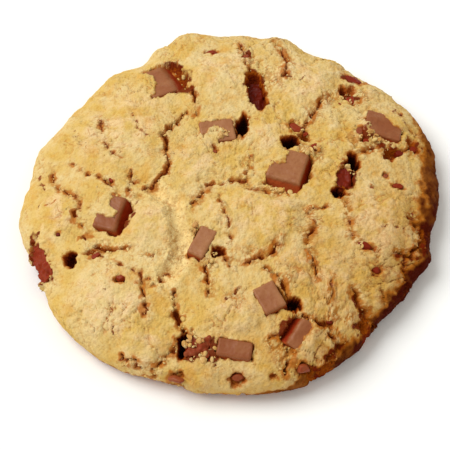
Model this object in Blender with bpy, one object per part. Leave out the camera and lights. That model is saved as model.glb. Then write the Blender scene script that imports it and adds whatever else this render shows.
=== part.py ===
"""Chocolate chip cookie with large chocolate chunks, about 92 mm across and 16 mm thick.

The dough is one solid: a flat base, a round rim, and a low dome with puffed plates, cracks and hollows.
Each large chunk is a solid of its own, set in a socket in the dough with a thin gap all round.
Small chips are fused to the dough. Seen from above, +X is right and +Y is away from the viewer.
The tables are in millimetres and degrees. The objects are in metres, +Z up, with the origin at the
middle of the base.
"""

from collections import namedtuple

import bmesh
import bpy
import numpy as np
from mathutils import Matrix, Vector

MM = 0.001

# Whole cookie
RADIUS = 44.5
THICKNESS = 14.2
WIDEST_Z = 4.5
BASE_TUCK = 0.07
DOME_POWER = 3.0
RIM_FADE_Z = 3.0

# Mesh
GRID_STEPS = 110
DOUGH_TRIANGLES = 7000
BASE_TOLERANCE = 0.05
PROFILE_SAMPLES = 400

# Relief
EDGE_RAGGEDNESS = 0.55
RAGGEDNESS_SIZE = 2.2
SWELL_STEEPNESS = 1.6
CRACK_EDGE = 1.35
CRACK_END_SHARE = 0.12
CRACK_SHOULDER = 0.35
CRACK_SHOULDER_REACH = 2.2
HOLLOW_STEEPNESS = 2.2
HOLLOW_EDGE = 0.3
PUFF = 0.8
LATTICE = 32
NOISE_HEIGHT = 1.6

# Breaks in the crust over the chunks, and the dough that laps over their edges
OPENING_SHARE = 0.72
OPENING_EDGE = 0.7
OPENING_SLACK = 0.3
LAP_SWELL = 0.6
LAP_REACH = 1.2
LAP_STEEPNESS = 3.0
LAP_SKIN = 0.75

# Chocolate
SOCKET_GAP = 0.35
CHUNK_BEVEL = 0.45
SHARP_ANGLE = 40.0
CHIP_SINK = 0.5
CHIP_HALF_DEPTH = 1.2
CHIP_UNEVENNESS = 0.15

# Lumps of the dough: size of a lump and height of the relief
LUMPS = ((11.0, 0.55), (5.0, 0.32), (2.6, 0.14))

Lobe = namedtuple("Lobe", "bearing half_width height")
Swell = namedtuple("Swell", "x y long wide yaw height")
Hollow = namedtuple("Hollow", "x y long wide yaw depth")
Crack = namedtuple("Crack", "width depth route")
Chip = namedtuple("Chip", "x y long wide yaw")
Sides = namedtuple("Sides", "left right near far", defaults=(0.0, 0.0, 0.0, 0.0))
Chunk = namedtuple("Chunk", "name x y long wide depth yaw sink slope opening")

# Outline: bulges and dents on a circle
LOBES = (
    Lobe(-2, 7, 0.5),
    Lobe(20, 30, 2.8),
    Lobe(64, 7, -1.0),
    Lobe(74, 8, 1.6),
    Lobe(87, 7, 0.6),
    Lobe(102, 10, 1.7),
    Lobe(109, 5, -0.6),
    Lobe(119, 9, -3.0),
    Lobe(125, 6, -0.5),
    Lobe(131, 7, 0.3),
    Lobe(143, 27, -2.8),
    Lobe(187, 17, 1.6),
    Lobe(222, 24, 2.1),
    Lobe(239, 13, 1.2),
    Lobe(261, 9, 0.7),
    Lobe(286, 28, 1.5),
    Lobe(295, 5, -0.5),
    Lobe(320, 15, -1.6),
    Lobe(335, 9, -0.6),
    Lobe(341, 8, 1.0),
)

# Puffed plates of the top
SWELLS = (
    Swell(-24, 15, 15, 12, 40, 0.9),
    Swell(-17, -10, 8, 7, 0, 1.0),
    Swell(7, -8, 11, 9, 20, 1.4),
    Swell(-25, -28, 12, 9, -35, 1.0),
    Swell(-18, -37, 6, 5, 0, 0.8),
    Swell(1, -31, 7, 5, 10, 0.9),
    Swell(-2, 30, 9, 8, 0, 0.9),
    Swell(16, 27, 9, 8, 0, 1.0),
    Swell(9, 12, 6, 5, 0, 0.7),
    Swell(31, -9, 10, 12, 0, 0.9),
    Swell(18, -37, 5.5, 4.5, 20, 1.0),
    Swell(-37, -6, 6, 8, 0, 0.6),
    Swell(-7, 6, 6, 7, 0, 0.6),
    Swell(14, -20, 6, 5, 0, 0.6),
    Swell(22, -22, 5, 7, 0, 0.6),
    Swell(-1.8, -7.3, 6.5, 2.6, -54, 0.9),
)

# Cracks between the plates
CRACKS = (
    Crack(1.3, 1.7, ((-8.5, 25.5), (-7.5, 21), (-7.5, 17.5))),
    Crack(2.2, 2.6, ((-9.5, 18.5), (-12.5, 15.5), (-14.3, 12.5), (-13.7, 8.5))),
    Crack(1.1, 1.5, ((-13.5, 8), (-13, 4.5), (-15.5, 1), (-20.5, -2.5))),
    Crack(1.7, 2.0, ((-21.8, 4), (-21, 1), (-21.7, -2))),
    Crack(1.0, 1.2, ((-35, 7), (-31, 3.2), (-27, 2), (-24, -3))),
    Crack(1.0, 1.2, ((-39, 7.5), (-38.5, 1.5), (-33, -2.5))),
    Crack(1.1, 1.4, ((-32, -3.5), (-33.5, -6.5), (-30, -11.5))),
    Crack(1.3, 1.7, ((-32, -12), (-27.5, -15.3), (-20, -15.5))),
    Crack(1.3, 1.2, ((-8.5, -6), (-4.5, -0.5), (0, 0.5), (3.5, 1.5), (4.5, 7))),
    Crack(1.2, 1.0, ((3.5, 1.5), (4, -1.5), (9, -2.5), (13, -2.5))),
    Crack(1.2, 1.6, ((11.5, -13.5), (8.5, -17), (3, -19.5))),
    Crack(1.3, 1.4, ((-8.5, -17), (-6, -19.5), (-4.5, -23), (-4.5, -27))),
    Crack(1.5, 1.7, ((6, -19.5), (10, -22), (11.5, -25), (13.5, -29))),
    Crack(1.2, 1.4, ((21, -5.5), (17, -6.5), (18.5, -10), (16.5, -13), (18.5, -22.5))),
    Crack(1.3, 1.7, ((39.5, -5), (41.5, -11), (39, -15), (35.5, -15))),
    Crack(1.7, 1.2, ((24, 24.5), (20, 21.5), (17.5, 17), (15, 12))),
    Crack(1.3, 1.2, ((27.5, 8.5), (32, 10.3), (36, 9), (41, 11.5))),
    Crack(1.0, 1.2, ((10.5, 41), (13.3, 33), (12, 28), (9.5, 26.5))),
    Crack(1.2, 1.3, ((-19, -21.5), (-18, -25.5), (-17.5, -31))),
    Crack(2.1, 2.2, ((-12, -26), (-11.3, -30), (-9.5, -36.5))),
    Crack(1.3, 1.2, ((-23, -38.5), (-16, -41), (-12, -38), (-11, -36))),
    Crack(1.3, 1.5, ((14.5, -30.5), (19.5, -33), (23, -36), (19, -40.5))),
    Crack(1.8, 2.1, ((11.5, -37.5), (12.5, -39), (11.5, -42.5))),
    Crack(1.7, 2.0, ((26, -24), (27.5, -27), (30.5, -31))),
)

# Broad valleys between the plates, full of crumb
VALLEYS = (
    Crack(3.6, 1.7, ((-16, -1.5), (-12.3, -5.5), (-11.5, -10), (-10, -14.5))),
    Crack(4.0, 1.6, ((-10, -14.5), (-11, -19.5), (-13.5, -22))),
)

# Hollows beside the chunks and in the crust
HOLLOWS = (
    Hollow(13.3, 10.6, 2.0, 1.5, -10, 5.0),
    Hollow(2.8, 14.8, 1.2, 2.9, -8, 4.5),
    Hollow(13.3, -28.6, 1.7, 1.4, 0, 4.5),
    Hollow(-9.8, -37.6, 1.3, 2.6, -10, 4.5),
    Hollow(27.0, 6.2, 1.4, 2.5, 15, 5.0),
    Hollow(23.4, -2.0, 1.6, 1.2, 0, 4.0),
    Hollow(6.0, 24.3, 2.0, 5.2, 12, 3.2),
    Hollow(-34, -17, 1.3, 1.7, 0, 3.6),
    Hollow(-2.3, -16.6, 1.3, 1.0, 0, 3.2),
    Hollow(25.5, 26, 1.2, 1.5, 0, 3.0),
    Hollow(35.6, 9.4, 1.6, 1.2, 0, 2.4),
)

# Chunks large enough to be pieces of their own. The long and wide sizes are those of the top face. A
# slope is how far a side runs out below the top edge. An opening is the outline in plan of the break in
# the crust through which a chunk shows; elsewhere the dough laps over it.
CHUNKS = (
    Chunk("chunk_upper_left", -16.3, 27.7, 5.2, 9.3, 2.8, 22, 0.6, Sides(right=4.2), (
        (-19.7, 31.9), (-15.0, 33.5), (-10.4, 34.9), (-8.8, 28.0), (-10.8, 24.3),
        (-13.7, 23.4), (-17.4, 21.6), (-16.0, 26.5), (-17.2, 30.0))),
    Chunk("chunk_upper_middle", -2.7, 13.3, 7.6, 5.8, 5.0, 9, 0.5, Sides(right=0.6, near=0.4), (
        (-7.1, 15.7), (-3.4, 17.0), (0.3, 16.3), (1.7, 12.0), (0.3, 9.8), (-2.0, 9.7),
        (-2.7, 11.4), (-0.5, 12.6), (-1.9, 14.3), (-3.8, 14.4), (-5.6, 12.4))),
    Chunk("chunk_centre_right", 12.5, 4.5, 7.6, 7.8, 5.2, -17, 0.4, Sides(right=1.6, near=2.6), (
        (13.0, 8.8), (17.6, 6.9), (18.6, 5.1), (17.0, 1.3), (14.5, -2.3), (10.8, -1.9),
        (7.7, -0.9), (7.3, 2.1), (9.8, 4.2), (12.4, 5.5))),
    Chunk("chunk_left", -25.9, -6.6, 5.0, 8.2, 5.0, -17, 0.5, Sides(right=2.8, near=0.8), (
        (-25.7, -4.7), (-23.3, -2.3), (-21.7, -3.7), (-20.9, -5.7), (-21.8, -8.9), (-23.0, -11.7),
        (-26.0, -11.8), (-29.0, -10.3), (-28.4, -7.4), (-26.4, -7.9), (-24.2, -9.3), (-24.0, -6.6))),
    Chunk("chunk_middle", -5.8, -14.5, 3.8, 7.2, 4.6, -27, 0.3, Sides(left=0.3, near=0.3), (
        (-5.6, -9.9), (-4.2, -10.3), (-2.7, -12.8), (-4.4, -16.2), (-6.2, -19.4), (-8.5, -17.2),
        (-8.4, -14.3))),
    Chunk("chunk_lower_middle", 8.2, -27.4, 5.0, 6.2, 4.8, 29, 0.2, Sides(right=0.8, near=0.4), (
        (4.0, -25.8), (8.6, -23.5), (11.0, -26.2), (14.6, -28.1), (15.1, -30.4), (12.2, -29.9),
        (7.8, -31.2))),
    Chunk("chunk_lower_right", 15.4, -35.2, 4.2, 6.8, 4.0, -31, 0.4, Sides(left=2.2), (
        (14.6, -30.7), (17.2, -31.7), (16.5, -34.0), (13.0, -38.3), (11.4, -38.2), (9.9, -36.9),
        (11.0, -34.1), (12.8, -31.2))),
    Chunk("chunk_bottom", 1.0, -38.1, 7.3, 3.7, 4.2, -11, 0.4, Sides(left=0.3, near=1.6, right=0.3), (
        (-3.4, -35.0), (-1.6, -35.6), (0.9, -36.4), (1.5, -37.2), (3.3, -36.9), (4.9, -37.5),
        (4.4, -40.6), (1.3, -40.1), (-2.8, -39.2))),
    Chunk("chunk_bottom_crumbled", -6.5, -37.7, 5.0, 4.8, 4.2, -8, 0.8, Sides(left=0.6), (
        (-9.6, -35.4), (-6.2, -34.5), (-3.6, -35.6), (-3.4, -39.0), (-2.2, -40.3), (-4.2, -40.9),
        (-9.1, -40.3), (-10.2, -37.9))),
    Chunk("chunk_upper_right", 34.0, 16.6, 8.6, 6.6, 4.8, -14, 0.5, Sides(near=0.4), (
        (30.5, 20.3), (32.2, 21.6), (34.4, 18.8), (35.9, 16.6), (37.9, 15.8), (38.3, 13.1),
        (36.2, 12.0), (34.6, 13.0), (32.4, 13.6), (30.7, 17.0))),
    Chunk("chunk_right", 24.6, 2.0, 3.8, 5.4, 4.6, -12, 1.1, Sides(right=0.6), (
        (23.0, 4.7), (24.8, 5.3), (26.6, 2.9), (26.5, -0.2), (24.6, -1.4), (22.7, 0.6))),
    Chunk("chunk_top", 5.7, 24.1, 3.6, 8.0, 4.0, 8, 2.6, Sides(left=0.4, right=0.4), (
        (3.7, 29.2), (5.0, 29.8), (6.8, 27.3), (7.8, 22.8), (6.2, 18.2), (4.8, 19.1), (3.4, 22.5),
        (4.8, 23.7), (3.7, 25.4))),
    Chunk("chunk_left_rim", -40.2, -16.1, 4.4, 8.2, 3.0, 22, 0.5, Sides(left=0.2, near=0.2), (
        (-42.4, -12.6), (-40.3, -13.0), (-38.8, -15.4), (-39.0, -17.0), (-38.2, -19.0), (-39.4, -20.4),
        (-41.6, -18.2), (-42.6, -15.3))),
)

# Chips too small to be pieces of their own
CHIPS = (
    Chip(28.2, 30.6, 3.0, 1.8, -25),
    Chip(27.2, 23.8, 2.3, 2.1, 60),
    Chip(27.2, 14.2, 2.4, 1.6, 75),
    Chip(14.6, 14.6, 3.2, 2.0, -35),
    Chip(18.6, 9.6, 2.4, 1.8, 25),
    Chip(37.4, 9.8, 2.2, 1.6, 0),
    Chip(40.8, 11.8, 2.4, 1.6, 40),
    Chip(28.6, -14.4, 3.0, 1.7, -20),
    Chip(31.2, -19.5, 2.0, 1.4, 15),
    Chip(36.6, 1.0, 2.6, 1.3, 0),
    Chip(3.6, 34.6, 2.4, 1.5, 75),
    Chip(-4.0, 36.4, 2.4, 1.5, 10),
    Chip(-28.6, -16.6, 2.2, 1.5, 30),
    Chip(-23.0, -22.6, 1.8, 1.3, 0),
    Chip(-11.0, -42.8, 3.2, 1.3, -8),
    Chip(1.6, -43.6, 2.4, 1.5, 0),
    Chip(15.6, -41.4, 2.8, 1.9, 10),
)

COLOURS = {
    "dough": ((0.62, 0.36, 0.12, 1.0), 0.75),
    "chocolate": ((0.13, 0.045, 0.025, 1.0), 0.45),
}


def smooth_step(value):
    """Ease from 0 to 1 as value goes from 0 to 1."""
    value = np.clip(value, 0.0, 1.0)
    return value * value * (3.0 - 2.0 * value)


def noise(points, size, seed):
    """Smooth noise from -1 to 1 in space, with lumps of about the given size."""
    lattice = np.random.default_rng(seed).normal(size=(LATTICE, LATTICE, LATTICE, 3))
    lattice /= np.linalg.norm(lattice, axis=-1, keepdims=True)
    scaled = points / size
    cell = np.floor(scaled).astype(int)
    inside = scaled - cell
    fade = inside ** 3 * (inside * (inside * 6.0 - 15.0) + 10.0)
    total = np.zeros(len(points))
    for corner in np.ndindex(2, 2, 2):
        ix, iy, iz = ((cell + corner) % LATTICE).T
        slope = np.einsum("ij,ij->i", lattice[ix, iy, iz], inside - corner)
        weight = np.where(corner, fade, 1.0 - fade).prod(axis=1)
        total += slope * weight
    return total * NOISE_HEIGHT


def outline_radius(bearing):
    """Radius of the cookie at its widest height, at a bearing in radians."""
    radius = np.full(np.shape(bearing), RADIUS)
    for lobe in LOBES:
        offset = np.angle(np.exp(1j * (bearing - np.radians(lobe.bearing))))
        share = np.clip(np.abs(offset) / np.radians(lobe.half_width), 0.0, 1.0)
        radius += lobe.height * np.cos(share * np.pi / 2) ** 2
    return radius


def dome_height(x, y):
    """Height of the plain dome over a place in plan."""
    share = np.minimum(np.hypot(x, y) / outline_radius(np.arctan2(y, x)), 1.0)
    return WIDEST_Z + (THICKNESS - WIDEST_Z) * np.sqrt(1.0 - share ** DOME_POWER)


def side_profile():
    """Points from the crown over the rim to the edge of the base, by share of their length."""
    dome = np.linspace(0.0, np.pi / 2, PROFILE_SAMPLES)
    wall = dome[1:]
    reach = np.concatenate([np.sin(dome) ** (2.0 / DOME_POWER), 1.0 - BASE_TUCK * (1.0 - np.cos(wall))])
    height = np.concatenate(
        [WIDEST_Z + (THICKNESS - WIDEST_Z) * np.cos(dome), WIDEST_Z * (1.0 - np.sin(wall))])
    steps = np.hypot(np.diff(reach) * RADIUS, np.diff(height))
    length = np.concatenate([[0.0], np.cumsum(steps)])
    return length / length[-1], reach, height


def plain_shell(steps):
    """Points of a square grid wrapped over the plain cookie, with their outward directions."""
    line = np.linspace(-1.0, 1.0, 2 * steps + 1)
    across, along = (grid.ravel() for grid in np.meshgrid(line, line))
    flat = np.abs(across) >= np.abs(along)
    signed = np.where(flat, across, along)
    other = np.where(flat, along, across)
    ratio = np.divide(other, signed, out=np.zeros_like(signed), where=signed != 0)
    turn = np.where(flat, ratio, 2.0 - ratio) * np.pi / 4
    bearing = np.where(signed < 0, turn + np.pi, turn)
    share, reach, height = side_profile()
    out = np.interp(np.abs(signed), share, reach)
    radius = out * outline_radius(bearing)
    points = np.column_stack(
        [radius * np.cos(bearing), radius * np.sin(bearing), np.interp(np.abs(signed), share, height)])
    rise = np.interp(np.abs(signed), share, np.gradient(reach * RADIUS, share))
    lean = np.interp(np.abs(signed), share, -np.gradient(height, share))
    length = np.hypot(rise, lean)
    normals = np.column_stack([lean * np.cos(bearing), lean * np.sin(bearing), rise]) / length[:, None]
    return points, normals


def local(points_x, points_y, x, y, yaw):
    """Coordinates along and across a feature that lies at x, y and is turned by yaw."""
    cos, sin = np.cos(np.radians(yaw)), np.sin(np.radians(yaw))
    dx, dy = points_x - x, points_y - y
    return dx * cos + dy * sin, dy * cos - dx * sin


def blob(x, y, feature):
    """1 at the middle of an oval feature, 0 at its edge and negative outside."""
    along, across = local(x, y, feature.x, feature.y, feature.yaw)
    return 1.0 - np.hypot(along / feature.long, across / feature.wide)


def distance_to_route(x, y, route):
    """Distance to a broken line, and the share of its length at the nearest point."""
    ends = np.array(route, dtype=float)
    spans = np.linalg.norm(np.diff(ends, axis=0), axis=1)
    before = np.concatenate([[0.0], np.cumsum(spans)])
    nearest = np.full(x.shape, np.inf)
    share = np.zeros(x.shape)
    for start, end, span, done in zip(ends[:-1], ends[1:], spans, before):
        step = (end - start) / span
        along = np.clip((x - start[0]) * step[0] + (y - start[1]) * step[1], 0.0, span)
        away = np.hypot(x - start[0] - along * step[0], y - start[1] - along * step[1])
        closer = away < nearest
        nearest = np.where(closer, away, nearest)
        share = np.where(closer, (done + along) / before[-1], share)
    return nearest, share


def depth_inside(x, y, outline):
    """Distance to a closed outline in plan, positive inside it."""
    corners = outline + outline[:1]
    away = distance_to_route(x, y, corners)[0]
    inside = np.zeros(x.shape, dtype=bool)
    for (start_x, start_y), (end_x, end_y) in zip(corners[:-1], corners[1:]):
        crosses = (start_y > y) != (end_y > y)
        if crosses.any():
            inside ^= crosses & (x < start_x + (y - start_y) * (end_x - start_x) / (end_y - start_y))
    return np.where(inside, away, -away)


def shown_inside(x, y, chunk):
    """Distance into the part of an opening that lies over its chunk, negative outside it."""
    along, across = local(x, y, chunk.x, chunk.y, chunk.yaw)
    left, right, near, far = chunk.slope
    return np.minimum.reduce([
        depth_inside(x, y, chunk.opening),
        OPENING_SLACK + chunk.long / 2 + right - along,
        OPENING_SLACK + chunk.long / 2 + left + along,
        OPENING_SLACK + chunk.wide / 2 + far - across,
        OPENING_SLACK + chunk.wide / 2 + near + across,
    ])


def lapped(x, y, chunk, within, height):
    """Height of the crust, raised where the dough laps over a chunk."""
    along, across = local(x, y, chunk.x, chunk.y, chunk.yaw)
    over = np.minimum(chunk.long / 2 - np.abs(along), chunk.wide / 2 - np.abs(across))
    lap = smooth_step(over / LAP_REACH + 0.5)
    raised = height + LAP_SWELL * lap * smooth_step(0.5 - within / LAP_REACH)
    least = PUFF - chunk.sink + LAP_SKIN
    return np.maximum(raised, least - LAP_STEEPNESS * (1.0 - lap))


def relief(points):
    """Height of the crust above the plain cookie."""
    x = points[:, 0] + EDGE_RAGGEDNESS * noise(points, RAGGEDNESS_SIZE, 1)
    y = points[:, 1] + EDGE_RAGGEDNESS * noise(points, RAGGEDNESS_SIZE, 2)
    height = np.zeros(len(points))
    for swell in SWELLS:
        height += swell.height * smooth_step(blob(x, y, swell) * SWELL_STEEPNESS)
    for index, (size, amount) in enumerate(LUMPS):
        height += amount * noise(points, size, 10 + index)
    for valley in VALLEYS:
        away = distance_to_route(x, y, valley.route)[0]
        height -= valley.depth * smooth_step(CRACK_EDGE - 2 * away / valley.width)
    cut = np.zeros(len(points))
    for crack in CRACKS:
        away, share = distance_to_route(x, y, crack.route)
        half = crack.width / 2 * np.sqrt(np.clip(4.0 * share * (1.0 - share), CRACK_END_SHARE, 1.0))
        cut = np.maximum(cut, crack.depth * smooth_step(CRACK_EDGE - away / half))
        height -= CRACK_SHOULDER * np.exp(-(away / CRACK_SHOULDER_REACH) ** 2)
    for hollow in HOLLOWS:
        cut = np.maximum(cut, hollow.depth * smooth_step(blob(x, y, hollow) * HOLLOW_STEEPNESS + HOLLOW_EDGE))
    for chunk in CHUNKS:
        within = shown_inside(x, y, chunk)
        height = lapped(x, y, chunk, within, height)
        cut = np.maximum(cut, OPENING_SHARE * chunk.depth * smooth_step(0.5 + within / OPENING_EDGE))
    return (height - cut) * smooth_step(points[:, 2] / RIM_FADE_Z)


def make_material(name):
    """Principled material of one of the cookie's two stuffs."""
    colour, roughness = COLOURS[name]
    material = bpy.data.materials.new(name)
    material.use_nodes = True
    shader = material.node_tree.nodes["Principled BSDF"]
    shader.inputs["Base Color"].default_value = colour
    shader.inputs["Roughness"].default_value = roughness
    shader.inputs["Metallic"].default_value = 0.0
    return material


def add_object(name, mesh, material):
    """Put a mesh in the scene as one named object."""
    mesh.materials.clear()
    mesh.materials.append(material)
    thing = bpy.data.objects.new(name, mesh)
    bpy.context.scene.collection.objects.link(thing)
    return thing


def apply_modifiers(thing):
    """Turn an object's modifiers into its mesh."""
    graph = bpy.context.evaluated_depsgraph_get()
    mesh = bpy.data.meshes.new_from_object(thing.evaluated_get(graph))
    thing.modifiers.clear()
    thing.data = mesh


def shell_mesh():
    """Closed mesh of the crust's relief over a flat base."""
    points, normals = plain_shell(GRID_STEPS)
    points = points + normals * relief(points)[:, None]
    side = 2 * GRID_STEPS + 1
    index = np.arange(side * side).reshape(side, side)
    quads = np.stack([index[:-1, :-1], index[:-1, 1:], index[1:, 1:], index[1:, :-1]], axis=-1)
    rim = np.concatenate([index[0, :-1], index[:-1, -1], index[-1, :0:-1], index[:0:-1, 0]])
    faces = quads.reshape(-1, 4).tolist()
    faces.append(rim[::-1].tolist())
    mesh = bpy.data.meshes.new("dough")
    mesh.from_pydata((points * MM).tolist(), [], faces)
    mesh.update()
    return mesh


def chunk_placement(chunk):
    """Matrix in metres that lays a chunk's top face level with the puffed crust, less its sink."""
    reach = 0.5
    slope_x = (dome_height(chunk.x + reach, chunk.y) - dome_height(chunk.x - reach, chunk.y)) / (2 * reach)
    slope_y = (dome_height(chunk.x, chunk.y + reach) - dome_height(chunk.x, chunk.y - reach)) / (2 * reach)
    up = Vector((-slope_x, -slope_y, 1.0)).normalized()
    top = Vector((chunk.x, chunk.y, float(dome_height(chunk.x, chunk.y)))) + up * (PUFF - chunk.sink)
    turn = Vector((0.0, 0.0, 1.0)).rotation_difference(up).to_matrix().to_4x4()
    return Matrix.Translation(top * MM) @ turn @ Matrix.Rotation(np.radians(chunk.yaw), 4, "Z")


def chunk_mesh(chunk, grow):
    """Bevelled block whose top face is at height 0, with some sides sloping out below."""
    left, right, near, far = chunk.slope
    half_long, half_wide = chunk.long / 2 + grow, chunk.wide / 2 + grow
    top = ((-half_long, -half_wide), (half_long, -half_wide), (half_long, half_wide), (-half_long, half_wide))
    bottom = (
        (-half_long - left, -half_wide - near), (half_long + right, -half_wide - near),
        (half_long + right, half_wide + far), (-half_long - left, half_wide + far))
    block = bmesh.new()
    upper = [block.verts.new((x * MM, y * MM, grow * MM)) for x, y in top]
    lower = [block.verts.new((x * MM, y * MM, -(chunk.depth + grow) * MM)) for x, y in bottom]
    block.faces.new(upper)
    block.faces.new(lower[::-1])
    for here in range(4):
        after = (here + 1) % 4
        block.faces.new((lower[here], lower[after], upper[after], upper[here]))
    bmesh.ops.bevel(
        block, geom=block.edges[:], offset=CHUNK_BEVEL * MM, segments=2, profile=0.5, affect="EDGES")
    mesh = bpy.data.meshes.new(chunk.name)
    block.to_mesh(mesh)
    block.free()
    mesh.transform(chunk_placement(chunk))
    return mesh


def chip_mesh(chip):
    """Small angular lump of chocolate, half sunk in the crust."""
    lump = bmesh.new()
    bmesh.ops.create_icosphere(lump, subdivisions=1, radius=1.0)
    plain = float(dome_height(chip.x, chip.y))
    level = plain + float(relief(np.array([[chip.x, chip.y, plain]]))[0]) - CHIP_SINK
    rng = np.random.default_rng(int(abs(chip.x * 100 + chip.y * 10)))
    for vertex in lump.verts:
        vertex.co *= rng.uniform(1.0 - CHIP_UNEVENNESS, 1.0 + CHIP_UNEVENNESS)
    scale = Matrix.Diagonal((chip.long / 2 * MM, chip.wide / 2 * MM, CHIP_HALF_DEPTH * MM, 1.0))
    turn = Matrix.Rotation(np.radians(chip.yaw), 4, "Z")
    place = Matrix.Translation(Vector((chip.x, chip.y, level)) * MM)
    bmesh.ops.transform(lump, matrix=place @ turn @ scale, verts=lump.verts)
    mesh = bpy.data.meshes.new("chip")
    lump.to_mesh(mesh)
    lump.free()
    return mesh


def combine(body, meshes, operation, material):
    """Cut meshes out of the body, or fuse them to it, by one Boolean on a collection."""
    group = bpy.data.collections.new(operation.lower())
    bpy.context.scene.collection.children.link(group)
    for mesh in meshes:
        mesh.materials.clear()
        mesh.materials.append(material)
        group.objects.link(bpy.data.objects.new("tool", mesh))
    modifier = body.modifiers.new(operation.lower(), "BOOLEAN")
    modifier.operation = operation
    modifier.operand_type = "COLLECTION"
    modifier.collection = group
    modifier.solver = "EXACT"
    apply_modifiers(body)
    for tool in list(group.objects):
        bpy.data.objects.remove(tool)
    bpy.data.collections.remove(group)


def flatten_base(thing):
    """Bring the vertices of the underside to height 0, so that it rests flat."""
    for vertex in thing.data.vertices:
        if vertex.co.z < BASE_TOLERANCE * MM:
            vertex.co.z = 0.0


def keep_largest_body(thing):
    """Drop any loose scrap of dough, and any flake that hangs on by one edge."""
    body = bmesh.new()
    body.from_mesh(thing.data)
    left = set(body.faces)
    bodies = []
    while left:
        group = {left.pop()}
        front = list(group)
        while front:
            plain = [edge for edge in front.pop().edges if len(edge.link_faces) == 2]
            fresh = {face for edge in plain for face in edge.link_faces if face in left}
            left -= fresh
            group |= fresh
            front.extend(fresh)
        bodies.append(group)
    bodies.sort(key=len, reverse=True)
    scraps = [face for group in bodies[1:] for face in group]
    bmesh.ops.delete(body, geom=scraps, context="FACES")
    body.to_mesh(thing.data)
    body.free()


def make_dough(material, chocolate):
    """The whole dough, with its sockets and fused chips."""
    dough = add_object("cookie", shell_mesh(), material)
    thin = dough.modifiers.new("thin", "DECIMATE")
    thin.ratio = DOUGH_TRIANGLES / (8.0 * GRID_STEPS ** 2 + 8.0 * GRID_STEPS - 2.0)
    apply_modifiers(dough)
    flatten_base(dough)
    combine(dough, [chunk_mesh(chunk, SOCKET_GAP) for chunk in CHUNKS], "DIFFERENCE", material)
    combine(dough, [chip_mesh(chip) for chip in CHIPS], "UNION", chocolate)
    keep_largest_body(dough)
    return dough


def main():
    for thing in list(bpy.data.objects):
        bpy.data.objects.remove(thing)
    dough = make_material("dough")
    chocolate = make_material("chocolate")
    make_dough(dough, chocolate)
    for chunk in CHUNKS:
        piece = add_object(chunk.name, chunk_mesh(chunk, 0.0), chocolate)
        piece.data.shade_smooth()
        piece.data.set_sharp_from_angle(angle=np.radians(SHARP_ANGLE))


main()
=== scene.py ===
"""Looks of a chocolate chip cookie: its crust, crumb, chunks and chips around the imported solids.

Lengths in the tables are millimetres and degrees, in the frame of the solids: the origin is the middle
of the base, +X is right and +Y is away from the viewer. Meshes are made in metres.
"""

from collections import namedtuple

import bmesh
import bpy
import numpy as np
from mathutils import Matrix, Vector


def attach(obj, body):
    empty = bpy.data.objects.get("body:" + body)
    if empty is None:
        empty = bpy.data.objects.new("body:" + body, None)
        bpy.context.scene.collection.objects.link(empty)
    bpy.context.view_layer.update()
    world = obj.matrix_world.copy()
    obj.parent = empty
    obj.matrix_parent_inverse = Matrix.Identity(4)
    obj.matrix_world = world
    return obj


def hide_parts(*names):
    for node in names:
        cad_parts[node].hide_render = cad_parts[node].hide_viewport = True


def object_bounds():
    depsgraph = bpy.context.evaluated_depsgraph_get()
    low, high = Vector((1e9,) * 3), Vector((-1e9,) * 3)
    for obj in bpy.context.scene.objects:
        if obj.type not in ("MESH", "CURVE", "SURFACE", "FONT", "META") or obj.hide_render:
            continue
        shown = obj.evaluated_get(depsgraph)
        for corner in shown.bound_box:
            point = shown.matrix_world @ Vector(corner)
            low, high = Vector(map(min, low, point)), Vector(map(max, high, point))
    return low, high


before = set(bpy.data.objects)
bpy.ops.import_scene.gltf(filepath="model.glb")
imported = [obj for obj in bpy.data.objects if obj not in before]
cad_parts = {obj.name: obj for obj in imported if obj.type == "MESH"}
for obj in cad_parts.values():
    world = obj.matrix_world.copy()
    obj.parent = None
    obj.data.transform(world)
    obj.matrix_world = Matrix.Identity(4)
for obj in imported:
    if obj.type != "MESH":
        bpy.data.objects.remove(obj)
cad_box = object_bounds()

MM = 0.001

# Whole cookie
RADIUS = 44.5
THICKNESS = 14.2
WIDEST_Z = 4.5
BASE_TUCK = 0.07
DOME_POWER = 3.0
RIM_FADE_Z = 3.0
PROFILE_SAMPLES = 400
LATTICE = 32
NOISE_GAIN = 1.6

# Coarse relief of the dough, as in the solids
LUMPS = ((11.0, 0.55), (5.0, 0.32), (2.6, 0.14))
EDGE_RAGGEDNESS = 0.55
EDGE_SIZE = 2.2
SWELL_SHARPNESS = 1.6
CRACK_SHOULDER = 0.2
CRACK_SHOULDER_REACH = 2.2
FINE_CRACK_SHOULDER = 0.1
WINDOW_SHARE = 0.72
LAP_SWELL = 0.6
LAP_REACH = 1.2
LAP_SKIN = 0.35
LAP_START = 0.35
LAP_FALL = 3.0
VALLEY_FRINGE = 1.35
PUFF = 0.8
SHELTERED_SLACK = -0.55
OPEN_SLACK = -0.3

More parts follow.
